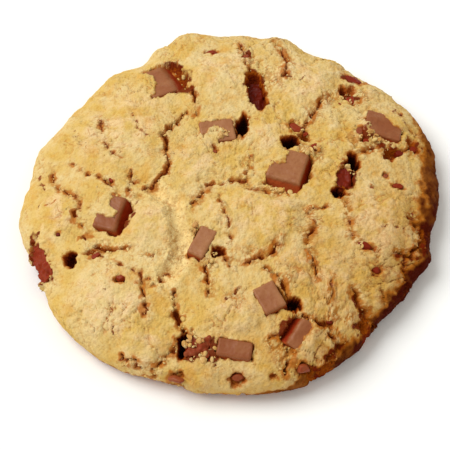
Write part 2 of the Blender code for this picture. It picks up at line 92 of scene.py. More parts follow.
# Fine relief of the dough: pairs are the size of a lump and its height
GRID_STEPS = 156
WINDOW_EDGE = 0.6
WINDOW_CRUMBLE = 0.7
WINDOW_CRUMBLE_REACH = 1.5
RAGGEDNESS = ((1.5, 0.55), (0.65, 0.28))
GRAIN = ((3.4, 0.16), (1.6, 0.14), (0.8, 0.1))
WANDER = ((5.0, 1.5), (2.0, 0.7), (0.9, 0.3))
CRUMB_SIZES = ((2.1, 0.42), (1.15, 0.34))
CRUMB_CROWN = 0.6
CRUMB_FALL = 1.6
GAP_WIDTH = 0.24
CRUMB_PATCH_SHARPNESS = 1.8
SMEAR_SHARPNESS = 1.2
BROKEN_CRUMB = 0.45
LEAST_CRUMBLE = 0.24
CRUMBLE_START = 25.0
CRUMBLE_REACH = 55.0
CRUMBLE_SWING = 0.25
CRUMBLE_PATCH = 6.0
SMOOTH_SIDE = 0.72
CRUMBLY_SIDE = 1.25
PIT_SIZE = 0.75
PIT_DEPTH = 0.16
PIT_RARITY = 0.4
PIT_SHARPNESS = 5.0
BUMP_RANGE = 0.8
STAIN_REACH = 0.8
SHADED_SIDE_STAIN_GROWTH = 0.7
VALE_FRINGE = 1.6
CUT_SCALE = 6.0
# Painted shade: how dark the crust is painted in the openings round the chunks
WINDOW_GLOOM = 0.4
CRACK_NARROWING = 0.55
CRACK_SHALLOWNESS = 0.85
SEAM_REACH = 1.6
CRACK_FRINGE = 1.3
LEAST_TAPER = 0.12
STAINING_DEPTH = 1.2
# Painted shade in the cores of the cracks: the crack depth at which it is full, and how dark it gets
DARK_DEPTH = 1.4
CRACK_GLOOM = 0.34
BREAK_REACH = 1.3

# Fissures: size of their cells, width as a share of the step to the next cell, and depth
FISSURE_SIZES = ((5.5, 0.07, 0.55), (3.0, 0.09, 0.3))
FISSURE_PATCH = 2.2
FISSURE_SWING = 1.8
LEFT_FISSURES = 0.1
RIGHT_FISSURES = 0.3
# How quickly the painted shade in a fissure fades away from its core
FISSURE_SEAM = 0.35
FISSURE_STAIN = 0.75

# Hollows, pockets and the nests of the chips. The gloom is painted shade that darkens the deeper hollows,
# nearly to black in the deepest
HOLLOW_EDGE = 0.8
GLOOM_EDGE = 0.5
HOLLOW_GLOOM = 0.4
BRIGHT_DEPTH = 1.75
LEAST_GLOOM = 0.32
MOST_GLOOM = 0.95
POCKET_STAIN = 0.55
NEST_LONG = 0.62
NEST_WIDE = 0.68
NEST_DEPTH = 1.2
NEST_SHARPNESS = 2.5
NEST_STAIN = 0.9
NEST_STAIN_SHARPNESS = 1.2

# Crumbs that lie on the crust
CRUMB_COUNT = 1800
SPILL_DENSITY = 8.0
SPILL_RADIUS = (0.2, 0.75)
CRUMB_RADIUS = (0.14, 0.62)
CRUMB_PALENESS = 0.35
CRUMB_LOWEST = 4.0
CRUMB_CUTS = 6
CRUMB_STRETCH = (0.35, 1.4)
CRUMB_SINK = (0.35, 0.85)
CRUMB_SCATTER = 0.1
CRUMB_FINENESS = 0.4
CRUMB_RARITY = 1.5
CRUMB_GATHERING = 1.5
CRUMB_RISE = (0.3, 0.8)
STRAY_CRUMBS = 0.03
CRACK_EMPTINESS = 0.8
SPILL_RARITY = 1.6
SPILL_LOOKS = {"crumb": (0.3, 0.9), "stain": (0.1, 0.75), "rise": (0.1, 0.8), "baked": (0.0, 0.4)}

# Chocolate
CHUNK_BEVEL = 0.4
CHUNK_VOXEL = 0.2
CHUNK_WAVES = ((3.2, 1.0), (1.3, 0.6), (0.6, 0.35))
CHUNK_WEAR = 0.3
BROKEN_FACE = 0.3
BROKEN_SIZE = 1.4
BROKEN_HEIGHT = 1.6
# How far down the sides are painted darker red, partly as painted shade, and how the sides facing the near
# side get a painted light
SIDE_DEPTH = 1.4
FRONT_GAIN = 1.4
FRONT_START = 0.3

# Browning of the rim: its height above the table. Above it the rim is also painted darker as shade, most on
# the right and lower right, away from the lamp
BROWN_HEIGHT = 2.0
BROWN_SOFTNESS = 2.1
BROWN_RAGGEDNESS = ((3.4, 1.3), (1.3, 0.7))
LEAST_DARKENING = 0.55
# Painted shade: the crust is painted darker towards the lower right, the side away from the lamp, and its
# stains reach further there
SHADED_SIDE_X = 0.75
SHADED_SIDE_Y = -0.65
SHADED_SIDE_REACH = 48.0
SHADED_SIDE_SHARE = 0.42

# Camera and light
CAMERA_ELEVATION = 60.0
CAMERA_DISTANCE = 450.0
CAMERA_TARGET = (-1.0, -5.8, 6.0)
CAMERA_LENS = 165.6
CAMERA_SENSOR = 36.0
CAMERA_CLIP = 0.01
SUN_DIRECTION = (-0.6, 0.2, 0.86)
SUN_STRENGTH = 2.15
SUN_ANGLE = 44.0
SUN_COLOUR = (0.985, 1.0, 0.99)
SKY_COLOUR = (1.0, 0.975, 0.9)
SKY_STRENGTH = 0.63

Lobe = namedtuple("Lobe", "bearing half_width height")
Swell = namedtuple("Swell", "x y long wide yaw height")
Hollow = namedtuple("Hollow", "x y long wide yaw depth")
Crack = namedtuple("Crack", "width depth route")
Chip = namedtuple("Chip", "x y long wide yaw")
Sides = namedtuple("Sides", "left right near far", defaults=(0.0, 0.0, 0.0, 0.0))
Chunk = namedtuple("Chunk", "name x y long wide depth yaw sink slope opening")
Finish = namedtuple("Finish", "roughness darkness paleness")

# How far the painted shade of the rim climbs above the plain height of the browning, by bearing, on the
# right and lower right away from the lamp
BROWNING_AND_SHADE = (
    Lobe(8, 52, 6.7),
    Lobe(-45, 62, 4.6),
    Lobe(-35, 14, 1.3),
    Lobe(-65, 22, 1.6),
)

# How dark the browning and the painted shade of the rim get, by bearing, darkest on the lower right, away
# from the lamp
DARKENING = (
    Lobe(-28, 95, 0.45),
)

# Outline: bulges and dents on a circle
LOBES = tuple(Lobe(*row) for row in (
    (-2, 7, 0.5), (20, 30, 2.8), (64, 7, -1.0), (74, 8, 1.6), (87, 7, 0.6), (102, 10, 1.7),
    (109, 5, -0.6), (119, 9, -3.0), (125, 6, -0.5), (131, 7, 0.3), (143, 27, -2.8), (187, 17, 1.6),
    (222, 24, 2.1), (239, 13, 1.2), (261, 9, 0.7), (286, 28, 1.5), (295, 5, -0.5), (320, 15, -1.6),
    (335, 9, -0.6), (341, 8, 1.0),
))

# Puffed plates of the top
SWELLS = tuple(Swell(*row) for row in (
    (-24, 15, 15, 12, 40, 0.9), (-17, -10, 8, 7, 0, 1.0), (7, -8, 11, 9, 20, 1.4),
    (-25, -28, 12, 9, -35, 1.0), (-18, -37, 6, 5, 0, 0.8), (1, -31, 7, 5, 10, 0.9),
    (-2, 30, 9, 8, 0, 0.9), (16, 27, 9, 8, 0, 1.0), (9, 12, 6, 5, 0, 0.7), (31, -9, 10, 12, 0, 0.9),
    (18, -37, 5.5, 4.5, 20, 1.0), (-37, -6, 6, 8, 0, 0.6), (-7, 6, 6, 7, 0, 0.6), (14, -20, 6, 5, 0, 0.6),
    (22, -22, 5, 7, 0, 0.6), (-1.8, -7.3, 6.5, 2.6, -54, 0.9),
))

# Cracks between the plates
CRACKS = tuple(Crack(*row) for row in (
    (1.3, 1.7, ((-8.5, 25.5), (-7.5, 21), (-7.5, 17.5))),
    (2.2, 2.6, ((-9.5, 18.5), (-12.5, 15.5), (-14.3, 12.5), (-13.7, 8.5))),
    (1.1, 1.5, ((-13.5, 8), (-13, 4.5), (-15.5, 1), (-20.5, -2.5))),
    (1.7, 2.0, ((-21.8, 4), (-21, 1), (-21.7, -2))),
    (1.0, 1.2, ((-35, 7), (-31, 3.2), (-27, 2), (-24, -3))),
    (1.0, 1.2, ((-39, 7.5), (-38.5, 1.5), (-33, -2.5))),
    (1.1, 1.4, ((-32, -3.5), (-33.5, -6.5), (-30, -11.5))),
    (1.3, 1.7, ((-32, -12), (-27.5, -15.3), (-20, -15.5))),
    (1.3, 1.2, ((-8.5, -6), (-4.5, -0.5), (0, 0.5), (3.5, 1.5), (4.5, 7))),
    (1.2, 1.0, ((3.5, 1.5), (4, -1.5), (9, -2.5), (13, -2.5))),
    (1.2, 1.6, ((11.5, -13.5), (8.5, -17), (3, -19.5))),
    (1.3, 1.4, ((-8.5, -17), (-6, -19.5), (-4.5, -23), (-4.5, -27))),
    (1.5, 1.7, ((6, -19.5), (10, -22), (11.5, -25), (13.5, -29))),
    (1.2, 1.4, ((21, -5.5), (17, -6.5), (18.5, -10), (16.5, -13), (18.5, -22.5))),
    (1.3, 1.7, ((39.5, -5), (41.5, -11), (39, -15), (35.5, -15))),
    (1.7, 1.2, ((24, 24.5), (20, 21.5), (17.5, 17), (15, 12))),
    (1.3, 1.2, ((27.5, 8.5), (32, 10.3), (36, 9), (41, 11.5))),
    (1.0, 1.2, ((10.5, 41), (13.3, 33), (12, 28), (9.5, 26.5))),
    (1.2, 1.3, ((-19, -21.5), (-18, -25.5), (-17.5, -31))),
    (2.1, 2.2, ((-12, -26), (-11.3, -30), (-9.5, -36.5))),
    (1.3, 1.2, ((-23, -38.5), (-16, -41), (-12, -38), (-11, -36))),
    (1.3, 1.5, ((14.5, -30.5), (19.5, -33), (23, -36), (19, -40.5))),
    (1.8, 2.1, ((11.5, -37.5), (12.5, -39), (11.5, -42.5))),
    (1.7, 2.0, ((26, -24), (27.5, -27), (30.5, -31))),
))

# Broad valleys between the plates, full of crumb
VALLEYS = (
    Crack(3.6, 1.7, ((-16, -1.5), (-12.3, -5.5), (-11.5, -10), (-10, -14.5))),
    Crack(4.0, 1.6, ((-10, -14.5), (-11, -19.5), (-13.5, -22))),
)

# Hollows beside the chunks and in the crust
HOLLOWS = tuple(Hollow(*row) for row in (
    (13.3, 10.6, 2.0, 1.5, -10, 5.0), (2.8, 14.8, 1.2, 2.9, -8, 4.5), (13.3, -28.6, 1.7, 1.4, 0, 4.5),
    (-9.8, -37.6, 1.3, 2.6, -10, 4.5), (27.0, 6.2, 1.4, 2.5, 15, 5.0), (23.4, -2.0, 1.6, 1.2, 0, 4.0),
    (6.0, 24.3, 2.0, 5.2, 12, 3.2), (-34, -17, 1.3, 1.7, 0, 3.6), (-2.3, -16.6, 1.3, 1.0, 0, 3.2),
    (25.5, 26, 1.2, 1.5, 0, 3.0), (35.6, 9.4, 1.6, 1.2, 0, 2.4),
))

# Chunks large enough to be pieces of their own. The long and wide sizes are those of the top face. A
# slope is how far a side runs out below the top edge. An opening is the outline in plan of the break in
# the crust through which a chunk shows; elsewhere the dough laps over it.
CHUNKS = (
    Chunk("chunk_upper_left", -16.3, 27.7, 5.2, 9.3, 2.8, 22, 0.6, Sides(right=4.2), (
        (-19.7, 31.9), (-15.0, 33.5), (-10.4, 34.9), (-8.8, 28.0), (-10.8, 24.3),
        (-13.7, 23.4), (-17.4, 21.6), (-16.0, 26.5), (-17.2, 30.0))),
    Chunk("chunk_upper_middle", -2.7, 13.3, 7.6, 5.8, 5.0, 9, 0.5, Sides(right=0.6, near=0.4), (
        (-7.1, 15.7), (-3.4, 17.0), (0.3, 16.3), (1.7, 12.0), (0.3, 9.8), (-2.0, 9.7),
        (-2.7, 11.4), (-0.5, 12.6), (-1.9, 14.3), (-3.8, 14.4), (-5.6, 12.4))),
    Chunk("chunk_centre_right", 12.5, 4.5, 7.6, 7.8, 5.2, -17, 0.4, Sides(right=1.6, near=2.6), (
        (13.0, 8.8), (17.6, 6.9), (18.6, 5.1), (17.0, 1.3), (14.5, -2.3), (10.8, -1.9),
        (7.7, -0.9), (7.3, 2.1), (9.8, 4.2), (12.4, 5.5))),
    Chunk("chunk_left", -25.9, -6.6, 5.0, 8.2, 5.0, -17, 0.5, Sides(right=2.8, near=0.8), (
        (-25.7, -4.7), (-23.3, -2.3), (-21.7, -3.7), (-20.9, -5.7), (-21.8, -8.9), (-23.0, -11.7),
        (-26.0, -11.8), (-29.0, -10.3), (-28.4, -7.4), (-26.4, -7.9), (-24.2, -9.3), (-24.0, -6.6))),
    Chunk("chunk_middle", -5.8, -14.5, 3.8, 7.2, 4.6, -27, 0.3, Sides(left=0.3, near=0.3), (
        (-5.6, -9.9), (-4.2, -10.3), (-2.7, -12.8), (-4.4, -16.2), (-6.2, -19.4), (-8.5, -17.2),
        (-8.4, -14.3))),
    Chunk("chunk_lower_middle", 8.2, -27.4, 5.0, 6.2, 4.8, 29, 0.2, Sides(right=0.8, near=0.4), (
        (4.0, -25.8), (8.6, -23.5), (11.0, -26.2), (14.6, -28.1), (15.1, -30.4), (12.2, -29.9),
        (7.8, -31.2))),
    Chunk("chunk_lower_right", 15.4, -35.2, 4.2, 6.8, 4.0, -31, 0.4, Sides(left=2.2), (
        (14.6, -30.7), (17.2, -31.7), (16.5, -34.0), (13.0, -38.3), (11.4, -38.2), (9.9, -36.9),
        (11.0, -34.1), (12.8, -31.2))),
    Chunk("chunk_bottom", 1.0, -38.1, 7.3, 3.7, 4.2, -11, 0.4, Sides(left=0.3, near=1.6, right=0.3), (
        (-3.4, -35.0), (-1.6, -35.6), (0.9, -36.4), (1.5, -37.2), (3.3, -36.9), (4.9, -37.5),
        (4.4, -40.6), (1.3, -40.1), (-2.8, -39.2))),
    Chunk("chunk_bottom_crumbled", -6.5, -37.7, 5.0, 4.8, 4.2, -8, 0.8, Sides(left=0.6), (
        (-9.6, -35.4), (-6.2, -34.5), (-3.6, -35.6), (-3.4, -39.0), (-2.2, -40.3), (-4.2, -40.9),
        (-9.1, -40.3), (-10.2, -37.9))),
    Chunk("chunk_upper_right", 34.0, 16.6, 8.6, 6.6, 4.8, -14, 0.5, Sides(near=0.4), (
        (30.5, 20.3), (32.2, 21.6), (34.4, 18.8), (35.9, 16.6), (37.9, 15.8), (38.3, 13.1),
        (36.2, 12.0), (34.6, 13.0), (32.4, 13.6), (30.7, 17.0))),
    Chunk("chunk_right", 24.6, 2.0, 3.8, 5.4, 4.6, -12, 1.1, Sides(right=0.6), (
        (23.0, 4.7), (24.8, 5.3), (26.6, 2.9), (26.5, -0.2), (24.6, -1.4), (22.7, 0.6))),
    Chunk("chunk_top", 5.7, 24.1, 3.6, 8.0, 4.0, 8, 2.6, Sides(left=0.4, right=0.4), (
        (3.7, 29.2), (5.0, 29.8), (6.8, 27.3), (7.8, 22.8), (6.2, 18.2), (4.8, 19.1), (3.4, 22.5),
        (4.8, 23.7), (3.7, 25.4))),
    Chunk("chunk_left_rim", -40.2, -16.1, 4.4, 8.2, 3.0, 22, 0.5, Sides(left=0.2, near=0.2), (
        (-42.4, -12.6), (-40.3, -13.0), (-38.8, -15.4), (-39.0, -17.0), (-38.2, -19.0), (-39.4, -20.4),
        (-41.6, -18.2), (-42.6, -15.3))),
)

# How rough, how dark and how pale each chunk looks; the darkness of the chunks deep in pits is painted shade
FINISHES = {
    "chunk_upper_left": Finish(0.14, 0.1, 0.4),
    "chunk_upper_middle": Finish(0.1, 0.0, 0.9),
    "chunk_centre_right": Finish(0.1, 0.0, 0.5),
    "chunk_left": Finish(0.14, 0.15, 0.15),
    "chunk_middle": Finish(0.1, 0.0, 0.9),
    "chunk_lower_middle": Finish(0.1, 0.0, 0.6),
    "chunk_lower_right": Finish(0.14, 0.15, 0.4),
    "chunk_bottom": Finish(0.14, 0.2, 0.05),
    "chunk_bottom_crumbled": Finish(0.6, 0.65, 0.3),
    "chunk_upper_right": Finish(0.16, 0.15, 0.2),
    "chunk_right": Finish(0.45, 0.95, 0.0),
    "chunk_top": Finish(0.5, 1.0, 0.0),
    "chunk_left_rim": Finish(0.5, 0.8, 0.2),
}

# Chips too small to be pieces of their own
CHIPS = tuple(Chip(*row) for row in (
    (28.2, 30.6, 4.0, 2.2, -25), (27.2, 23.8, 2.6, 2.3, 60), (28.6, 14.4, 2.6, 1.7, 75),
    (14.6, 14.6, 3.2, 2.0, -35), (18.6, 9.6, 2.4, 1.8, 25), (37.4, 9.8, 2.2, 1.6, 0),
    (40.8, 11.8, 2.4, 1.6, 40), (28.6, -14.4, 3.0, 1.7, -20), (31.2, -19.5, 2.0, 1.4, 15),
    (36.6, 1.0, 2.6, 1.3, 0), (3.6, 34.6, 2.4, 1.5, 75), (-4.0, 36.4, 2.4, 1.5, 10),
    (-28.6, -16.6, 2.2, 1.5, 30), (-23.0, -22.6, 1.8, 1.3, 0), (-11.0, -42.8, 3.2, 1.3, -8),
    (1.6, -43.6, 2.4, 1.5, 0), (15.6, -41.4, 2.8, 1.9, 10),
))

# Thin cracks and wrinkles of the crust
FINE_CRACKS = tuple(Crack(*row) for row in (
    (0.7, 0.9, ((-28.5, 18), (-27.8, 12.5), (-26, 8.5), (-23, 6.5))),
    (0.5, 0.6, ((-22.5, 21), (-20.5, 16), (-18.5, 12))),
    (0.5, 0.6, ((-34.5, 15.5), (-33, 12), (-32, 9.5))),
    (0.8, 1.0, ((-18.5, -17.8), (-16.5, -17.6), (-14.5, -16.5))),
    (0.9, 0.8, ((-27.5, -17), (-24, -19), (-20, -20.5), (-18, -22.5))),
    (1.2, 0.8, ((-2.5, -3), (-1.5, -7), (0, -12.5), (0, -14.5))), (0.9, 1.2, ((-1.5, -18), (0.5, -20.5))),
    (0.7, 0.8, ((-0.5, -27.5), (2, -25.5))), (0.8, 1.0, ((25, -2), (25, -8), (26, -12), (27.5, -13.5))),
    (0.9, 1.2, ((37.5, -16), (38, -19.5), (37.5, -23.5))),
    (0.9, 1.0, ((2.5, 39.5), (3.5, 33), (4.5, 29.5))),
    (1.1, 1.1, ((-13.5, -21.5), (-15.5, -24.5), (-17.5, -23))),
    (0.6, 0.6, ((-24, -32.5), (-24.2, -34.5))), (1.3, 1.1, ((8, -36.5), (9.5, -35), (11, -35.5))),
    (0.8, 0.8, ((21.5, -22.5), (21, -27))), (0.6, 0.6, ((-42, 5), (-40.5, 1), (-41, -3))),
    (0.5, 0.5, ((31.5, -11), (34, -9), (38, -9.5))), (0.5, 0.5, ((12.5, 28), (15.5, 27), (18.5, 28.5))),
    (0.5, 0.5, ((-26, -25), (-24.5, -29), (-25.5, -33))), (0.5, 0.5, ((36, 22), (39, 18), (42, 16))),
    (0.8, 1.1, ((14.7, -30.8), (19.3, -32.6), (21.7, -33.4))),
    (1.1, 1.3, ((23.2, -34.6), (23.5, -35.9), (21.5, -37.6), (19.3, -39.9))),
))

# Small dark pockets of the rim and the crust
POCKETS = tuple(Hollow(*row) for row in (
    (28.0, 30.9, 1.8, 1.1, -25, 1.3), (27.4, 26.6, 0.9, 1.6, 20, 1.6), (30.4, -15.0, 1.3, 0.7, -20, 1.6),
    (15.8, -41.6, 1.9, 1.1, 10, 1.8), (1.6, -43.9, 1.9, 1.0, 0, 1.8), (9.3, -43.2, 1.0, 0.7, 0, 1.2),
    (34.6, 8.2, 1.4, 0.8, -30, 2.0), (40.3, 13.0, 1.0, 1.6, 20, 1.6), (16.4, 12.2, 1.4, 0.9, -40, 2.4),
    (-3.0, 8.8, 1.0, 0.6, -30, 1.4), (-29.8, -15.6, 1.2, 0.6, 30, 1.6), (20.4, -32.0, 1.3, 0.8, -20, 1.4),
    (38.6, -6.0, 1.0, 0.7, 0, 1.4), (42.0, -9.6, 0.7, 1.6, 0, 1.4), (26.9, -25.6, 2.2, 0.5, -64, 1.6),
    (28.3, -28.6, 2.2, 0.7, -68, 1.8), (28.3, -31.6, 1.2, 1.2, 0, 1.8), (20.4, -40.2, 1.9, 0.8, 30, 1.6),
))

# Melted chocolate smeared on the dough; the depth is how strong it is
SMEARS = tuple(Hollow(*row) for row in (
    (-11.6, 28.9, 2.9, 5.4, 22, 1.0), (6.0, 24.6, 2.6, 5.6, 12, 1.0), (4.2, 35.2, 0.9, 2.2, 5, 0.8),
    (-3.6, -38.2, 1.4, 2.4, 0, 1.0), (-8.6, -38.6, 2.4, 2.2, 0, 0.9), (25.2, 1.6, 2.6, 4.2, -10, 0.9),
    (30.2, 14.0, 1.2, 2.4, 20, 0.9), (35.6, 10.4, 3.2, 1.4, -10, 0.8), (40.8, 12.6, 1.4, 2.0, 20, 0.8),
    (-40.6, -15.8, 1.8, 5.4, 22, 0.9), (-42.0, -10.4, 0.8, 1.6, 0, 0.7), (27.6, 30.4, 2.2, 1.8, -25, 0.9),
    (27.0, 24.4, 1.8, 1.6, 0, 0.8), (15.4, 13.6, 2.2, 1.4, -35, 0.8), (16.8, -41.0, 2.8, 1.4, 10, 0.8),
    (12.2, -34.0, 2.0, 3.4, -31, 1.0), (27.9, -28.8, 4.6, 1.0, -68, 1.0), (28.4, -32.2, 2.0, 1.6, 0, 1.0),
    (21.4, -37.9, 3.4, 0.9, 44, 0.8), (41.6, -10.6, 0.9, 4.4, 0, 0.8), (38.4, -15.2, 3.2, 0.8, 10, 0.7),
    (11.0, 42.4, 2.4, 0.9, -5, 0.6), (19.8, -42.6, 2.4, 1.2, 20, 0.7), (-21.2, -7.4, 1.0, 4.2, -17, 0.9),
))

# Pale crumbs that lie on the chocolate; the depth is their height above the plain crust
SPILLS = tuple(Hollow(*row) for row in (
    (-7.4, -36.4, 2.4, 1.2, 25, -0.05), (-5.6, -39.6, 2.8, 0.7, 0, -0.05),
    (-2.4, 12.2, 2.6, 0.9, 25, 0.35), (-4.0, -18.4, 1.6, 0.8, 40, 0.25),
    (-7.6, -11.8, 0.9, 1.6, -20, 0.25), (31.6, 13.0, 2.4, 0.9, -30, 0.25),
    (18.2, 8.2, 1.7, 1.1, 40, 0.25), (26.3, 3.4, 0.7, 1.7, 20, -0.05), (10.6, -1.9, 3.0, 0.5, -17, 0.15),
))

# Places where the crust is broken up into pale crumb
CRUMB_PATCHES = tuple(Hollow(*row) for row in (
    (-11.5, -9, 2.6, 9, 12, 1.0), (-11.5, -19, 3.4, 4, 0, 1.0), (18, 8.5, 4.2, 4.2, 0, 1.0),
    (31, 12, 6.5, 3.2, 0, 0.9), (9.5, 27, 3.2, 7, 10, 0.8), (-26, -15, 7.5, 2.6, -8, 0.9),
    (11.5, -22, 2.6, 5, 25, 0.9), (-4.5, -19.5, 2.2, 3, 0, 0.9), (3, -17.5, 4.5, 2.6, 0, 0.7),
    (23, -31, 4.5, 3.5, 20, 0.8), (-15.5, -24.5, 3.0, 3.0, 0, 0.9), (10, -38.5, 3.5, 4.5, 0, 0.8),
    (-5, -41.5, 9, 2.2, -5, 0.6), (18, 18, 2.6, 5.5, -30, 0.7), (-4, 2, 6.0, 2.2, 20, 0.6),
    (-23, -4, 3, 4, 0, 0.6), (28, 24, 4, 3.5, 0, 0.8), (2, 14, 4, 4, 0, 0.5),
))

# Chips that are too small for the solids
SPECKS = tuple(Chip(*row) for row in (
    (30.4, -0.6, 1.5, 1.1, 0), (34.0, 3.2, 1.3, 1.0, 30), (-38.6, -3.4, 1.5, 0.5, 35),
    (-36.8, -10.8, 1.0, 0.8, 0), (-42.4, -12.0, 1.3, 0.7, 50), (21.0, -31.8, 1.3, 0.9, 0),
    (26.4, -32.0, 1.5, 1.0, 40), (30.0, 12.2, 1.4, 1.0, 0), (24.6, 22.0, 1.2, 0.9, 0),
    (16.8, 13.2, 1.3, 0.9, 20), (-3.4, 8.0, 1.5, 0.9, -30), (-4.6, -19.6, 1.3, 0.7, 30),
    (-25.6, 1.2, 1.3, 0.8, -50), (39.6, -5.0, 1.1, 0.8, 0), (12.6, 38.6, 1.4, 0.8, -30),
    (-8.2, -34.6, 1.5, 0.9, 20), (-2.6, -41.0, 1.4, 0.8, 0), (38.0, 21.0, 0.8, 0.6, 0),
))

# Chips and specks: half their thickness and how deep they sit, then their size, cuts, waves and looks
CHIP_BODY = (1.0, 0.62)
SPECK_BODY = (0.6, 0.5)
CHIP_GROWTH = 1.15
CHIP_CUTS = 9
CHIP_WAVE = 0.06
CHIP_WAVE_SIZE = 0.4
CHIP_SPACING = 9.0
CHIP_DARKNESS = (0.5, 1.0)
CHIP_PALENESS = (0.0, 0.7)
COLLAR_START = 0.7
COLLAR_WIDTH = 1.2

# Broken lumps: how far out their flat faces lie, as shares of the radius
LUMP_REACH = (0.65, 1.0)
LUMP_TOP = 0.75
GRAZING = 0.05

# Seeds of the noise and of the random draws
SHIFT_SEEDS = ((1, 20), (2, 30))
LUMP_SEED = 10
CRUMBLE_SEED = 51
GRANULE_SEED = 60
FISSURE_SEED = 70
FISSURE_PATCH_SEED = 75
GRAIN_SEED = 80
PIT_SEED = 90
BROWN_SEED = 92
WANDER_SEED = 100
WANDER_SEED_STEP = 10
CHUNK_SEED = 90
BROKEN_SEED = 93
CHIP_SEED = 5
CHIP_WAVE_SEED = 95
CRUMB_SEED = 21

# Values that vary over the crust: size and seed of the noise, middle, swing and limits
Uneven = namedtuple("Uneven", "size seed middle swing least most")
LINE_STRENGTH = Uneven(1.6, 40, 0.75, 1.4, 0.1, 1.5)
CRUMB_SHARE = Uneven(2.4, 50, 0.8, 1.1, 0.0, 1.0)
SMEAR_SHARE = Uneven(1.4, 93, 0.75, 0.9, 0.0, 3.0)
PIT_SHARE = Uneven(7.0, 91, 0.3, 1.0, 0.0, 1.0)
SHADE_AND_TONE_SHARE = Uneven(5.0, 94, 1.0, 0.6, 0.0, 3.0)

# Noises of the materials: size in millimetres, detail and roughness
Mottle = namedtuple("Mottle", "size detail roughness", defaults=(2.0, 0.5))
CRUST_MOTTLES = {
    "large": Mottle(9.0),
    "medium": Mottle(3.0, 3.0),
    "small": Mottle(1.0, 3.0, 0.6),
    "grain": Mottle(0.42, 2.0, 0.6),
    "ragged": Mottle(0.7, 3.0, 0.7),
    "blotch": Mottle(5.0, 4.0, 0.65),
    "patchy": Mottle(2.6, 5.0, 0.7),
}
CHOCOLATE_MOTTLES = {
    "cloud": Mottle(4.0, 3.0),
    "fleck": Mottle(0.6, 3.0, 0.6),
}

# Layers of colour, from the bottom up. A colour is red, green and blue from 0 to 255. A mask goes from
# start to end as its field goes from low to high, and a second mask weakens the first.
Mask = namedtuple("Mask", "field low high start end ragged", defaults=(0.0, 1.0, 0.0, 1.0, ""))
Layer = namedtuple("Layer", "colour mask second", defaults=(None,))
CRUST_BASE = (212, 175, 92)
CRUST_LAYERS = (
    Layer((218, 190, 128), Mask("large", 0.42, 0.6)),
    # Painted light and shade on the fine relief: deeper golden in the lows, paler on the tops of the lumps,
    # partly as a painted highlight
    Layer((202, 150, 54), Mask("rise", 0.1, 0.52, 0.6, 0.0)),
    Layer((228, 206, 160), Mask("rise", 0.5, 0.95, 0.0, 0.65)),
    Layer((231, 198, 150), Mask("plate"), Mask("medium", 0.42, 0.62, 0.0, 0.7)),
    # Painted light: the valleys painted paler, partly their pale crumb and partly against their shade
    Layer((244, 216, 150), Mask("vale", end=0.75)),
    Layer((223, 200, 142), Mask("crumb"), Mask("small", 0.3, 0.6, 0.2, 0.8)),
    Layer((238, 212, 156), Mask("crumb"), Mask("grain", 0.52, 0.66, 0.0, 0.45)),
    Layer((206, 146, 46), Mask("blotch", 0.54, 0.68, 0.0, 0.5)),
    # Painted shade: darker towards the lower right, away from the lamp; on the spilled crumbs a random tone
    Layer((186, 132, 48), Mask("baked")),
    Layer((196, 138, 38), Mask("small", 0.54, 0.72, 0.0, 0.5)),
    Layer((176, 116, 30), Mask("grain", 0.56, 0.74, 0.0, 0.35)),
    # Creases between the crumbs painted darker orange, partly their colour and partly painted shade, and
    # dark red-brown blotches; both grow with the painted shade of the lower right
    Layer((172, 104, 16), Mask("gap", 0.3, 0.8, ragged="ragged"), Mask("baked", 0.0, 0.45, 0.6, 0.95)),
    Layer((150, 70, 12), Mask("patchy", 0.54, 0.62), Mask("baked", 0.15, 0.5, 0.0, 0.7)),
    Layer((166, 98, 26), Mask("pit", end=0.5)),
    Layer((170, 96, 22), Mask("crackle"), Mask("medium", 0.55, 0.7, 0.0, 0.6)),
    Layer((178, 100, 16), Mask("stain", 0.4, 0.9, 0.0, 0.85, "ragged")),
    # Browning of the base, and painted shade on the right and lower right of the rim, dark brown to nearly
    # black
    Layer((166, 92, 18), Mask("toast_and_shade", 0.08, 0.5, 0.0, 0.9, "ragged")),
    Layer((74, 18, 4), Mask("toast_and_shade", 0.55, 0.95, 0.0, 1.0, "medium")),
    Layer((108, 28, 5), Mask("smear", 0.3, 0.6, 0.0, 0.95, "ragged")),
    # Cracks, hollows, nests of the chips and openings round the chunks: orange-brown at their rims, then
    # painted shade, dark brown to nearly black further in
    Layer((166, 84, 12), Mask("cut", 0.09, 0.3, 0.0, 0.95, "ragged")),
    Layer((116, 36, 6), Mask("cut", 0.26, 0.5, 0.0, 0.95, "ragged")),
    Layer((50, 12, 4), Mask("cut", 0.5, 0.85, 0.0, 1.0, "ragged")),
    # Painted shade: a thin dark line in the cores of the cracks and fissures
    Layer((130, 54, 12), Mask("crack_core_shade", 0.78, 0.9, 0.0, 0.85, "grain")),
)

# Ragged edges of the masks, thin lines, shine and bumps of the crust
FRAY = 0.13
FRAY_RANGE = (0.3, 0.7)
CRACKLE_SIZE = 4.2
CRACKLE_WIDTH = 0.13
CRACKLE_DRIFT = 0.6
CRACKLE_CORE = 0.2
CRUST_ROUGHNESS = 0.72
CRUST_SHINE = (0.22, 0.02)
GRANULE_SIZE = 0.7
GRANULE_HEIGHT = 0.26
GRAIN_HEIGHT = 0.2

# Chocolate: its top, and its sides, broken or melted and painted darker red, partly as painted shade; sides
# facing the near side get a painted light, and chunks deep in pits painted shade
CHOCOLATE_DARK = (138, 74, 34)
CHOCOLATE_LAYERS = (
    Layer((162, 107, 66), Mask("paleness")),
    Layer((134, 66, 32), Mask("fleck", 0.52, 0.75, 0.0, 0.5)),
)
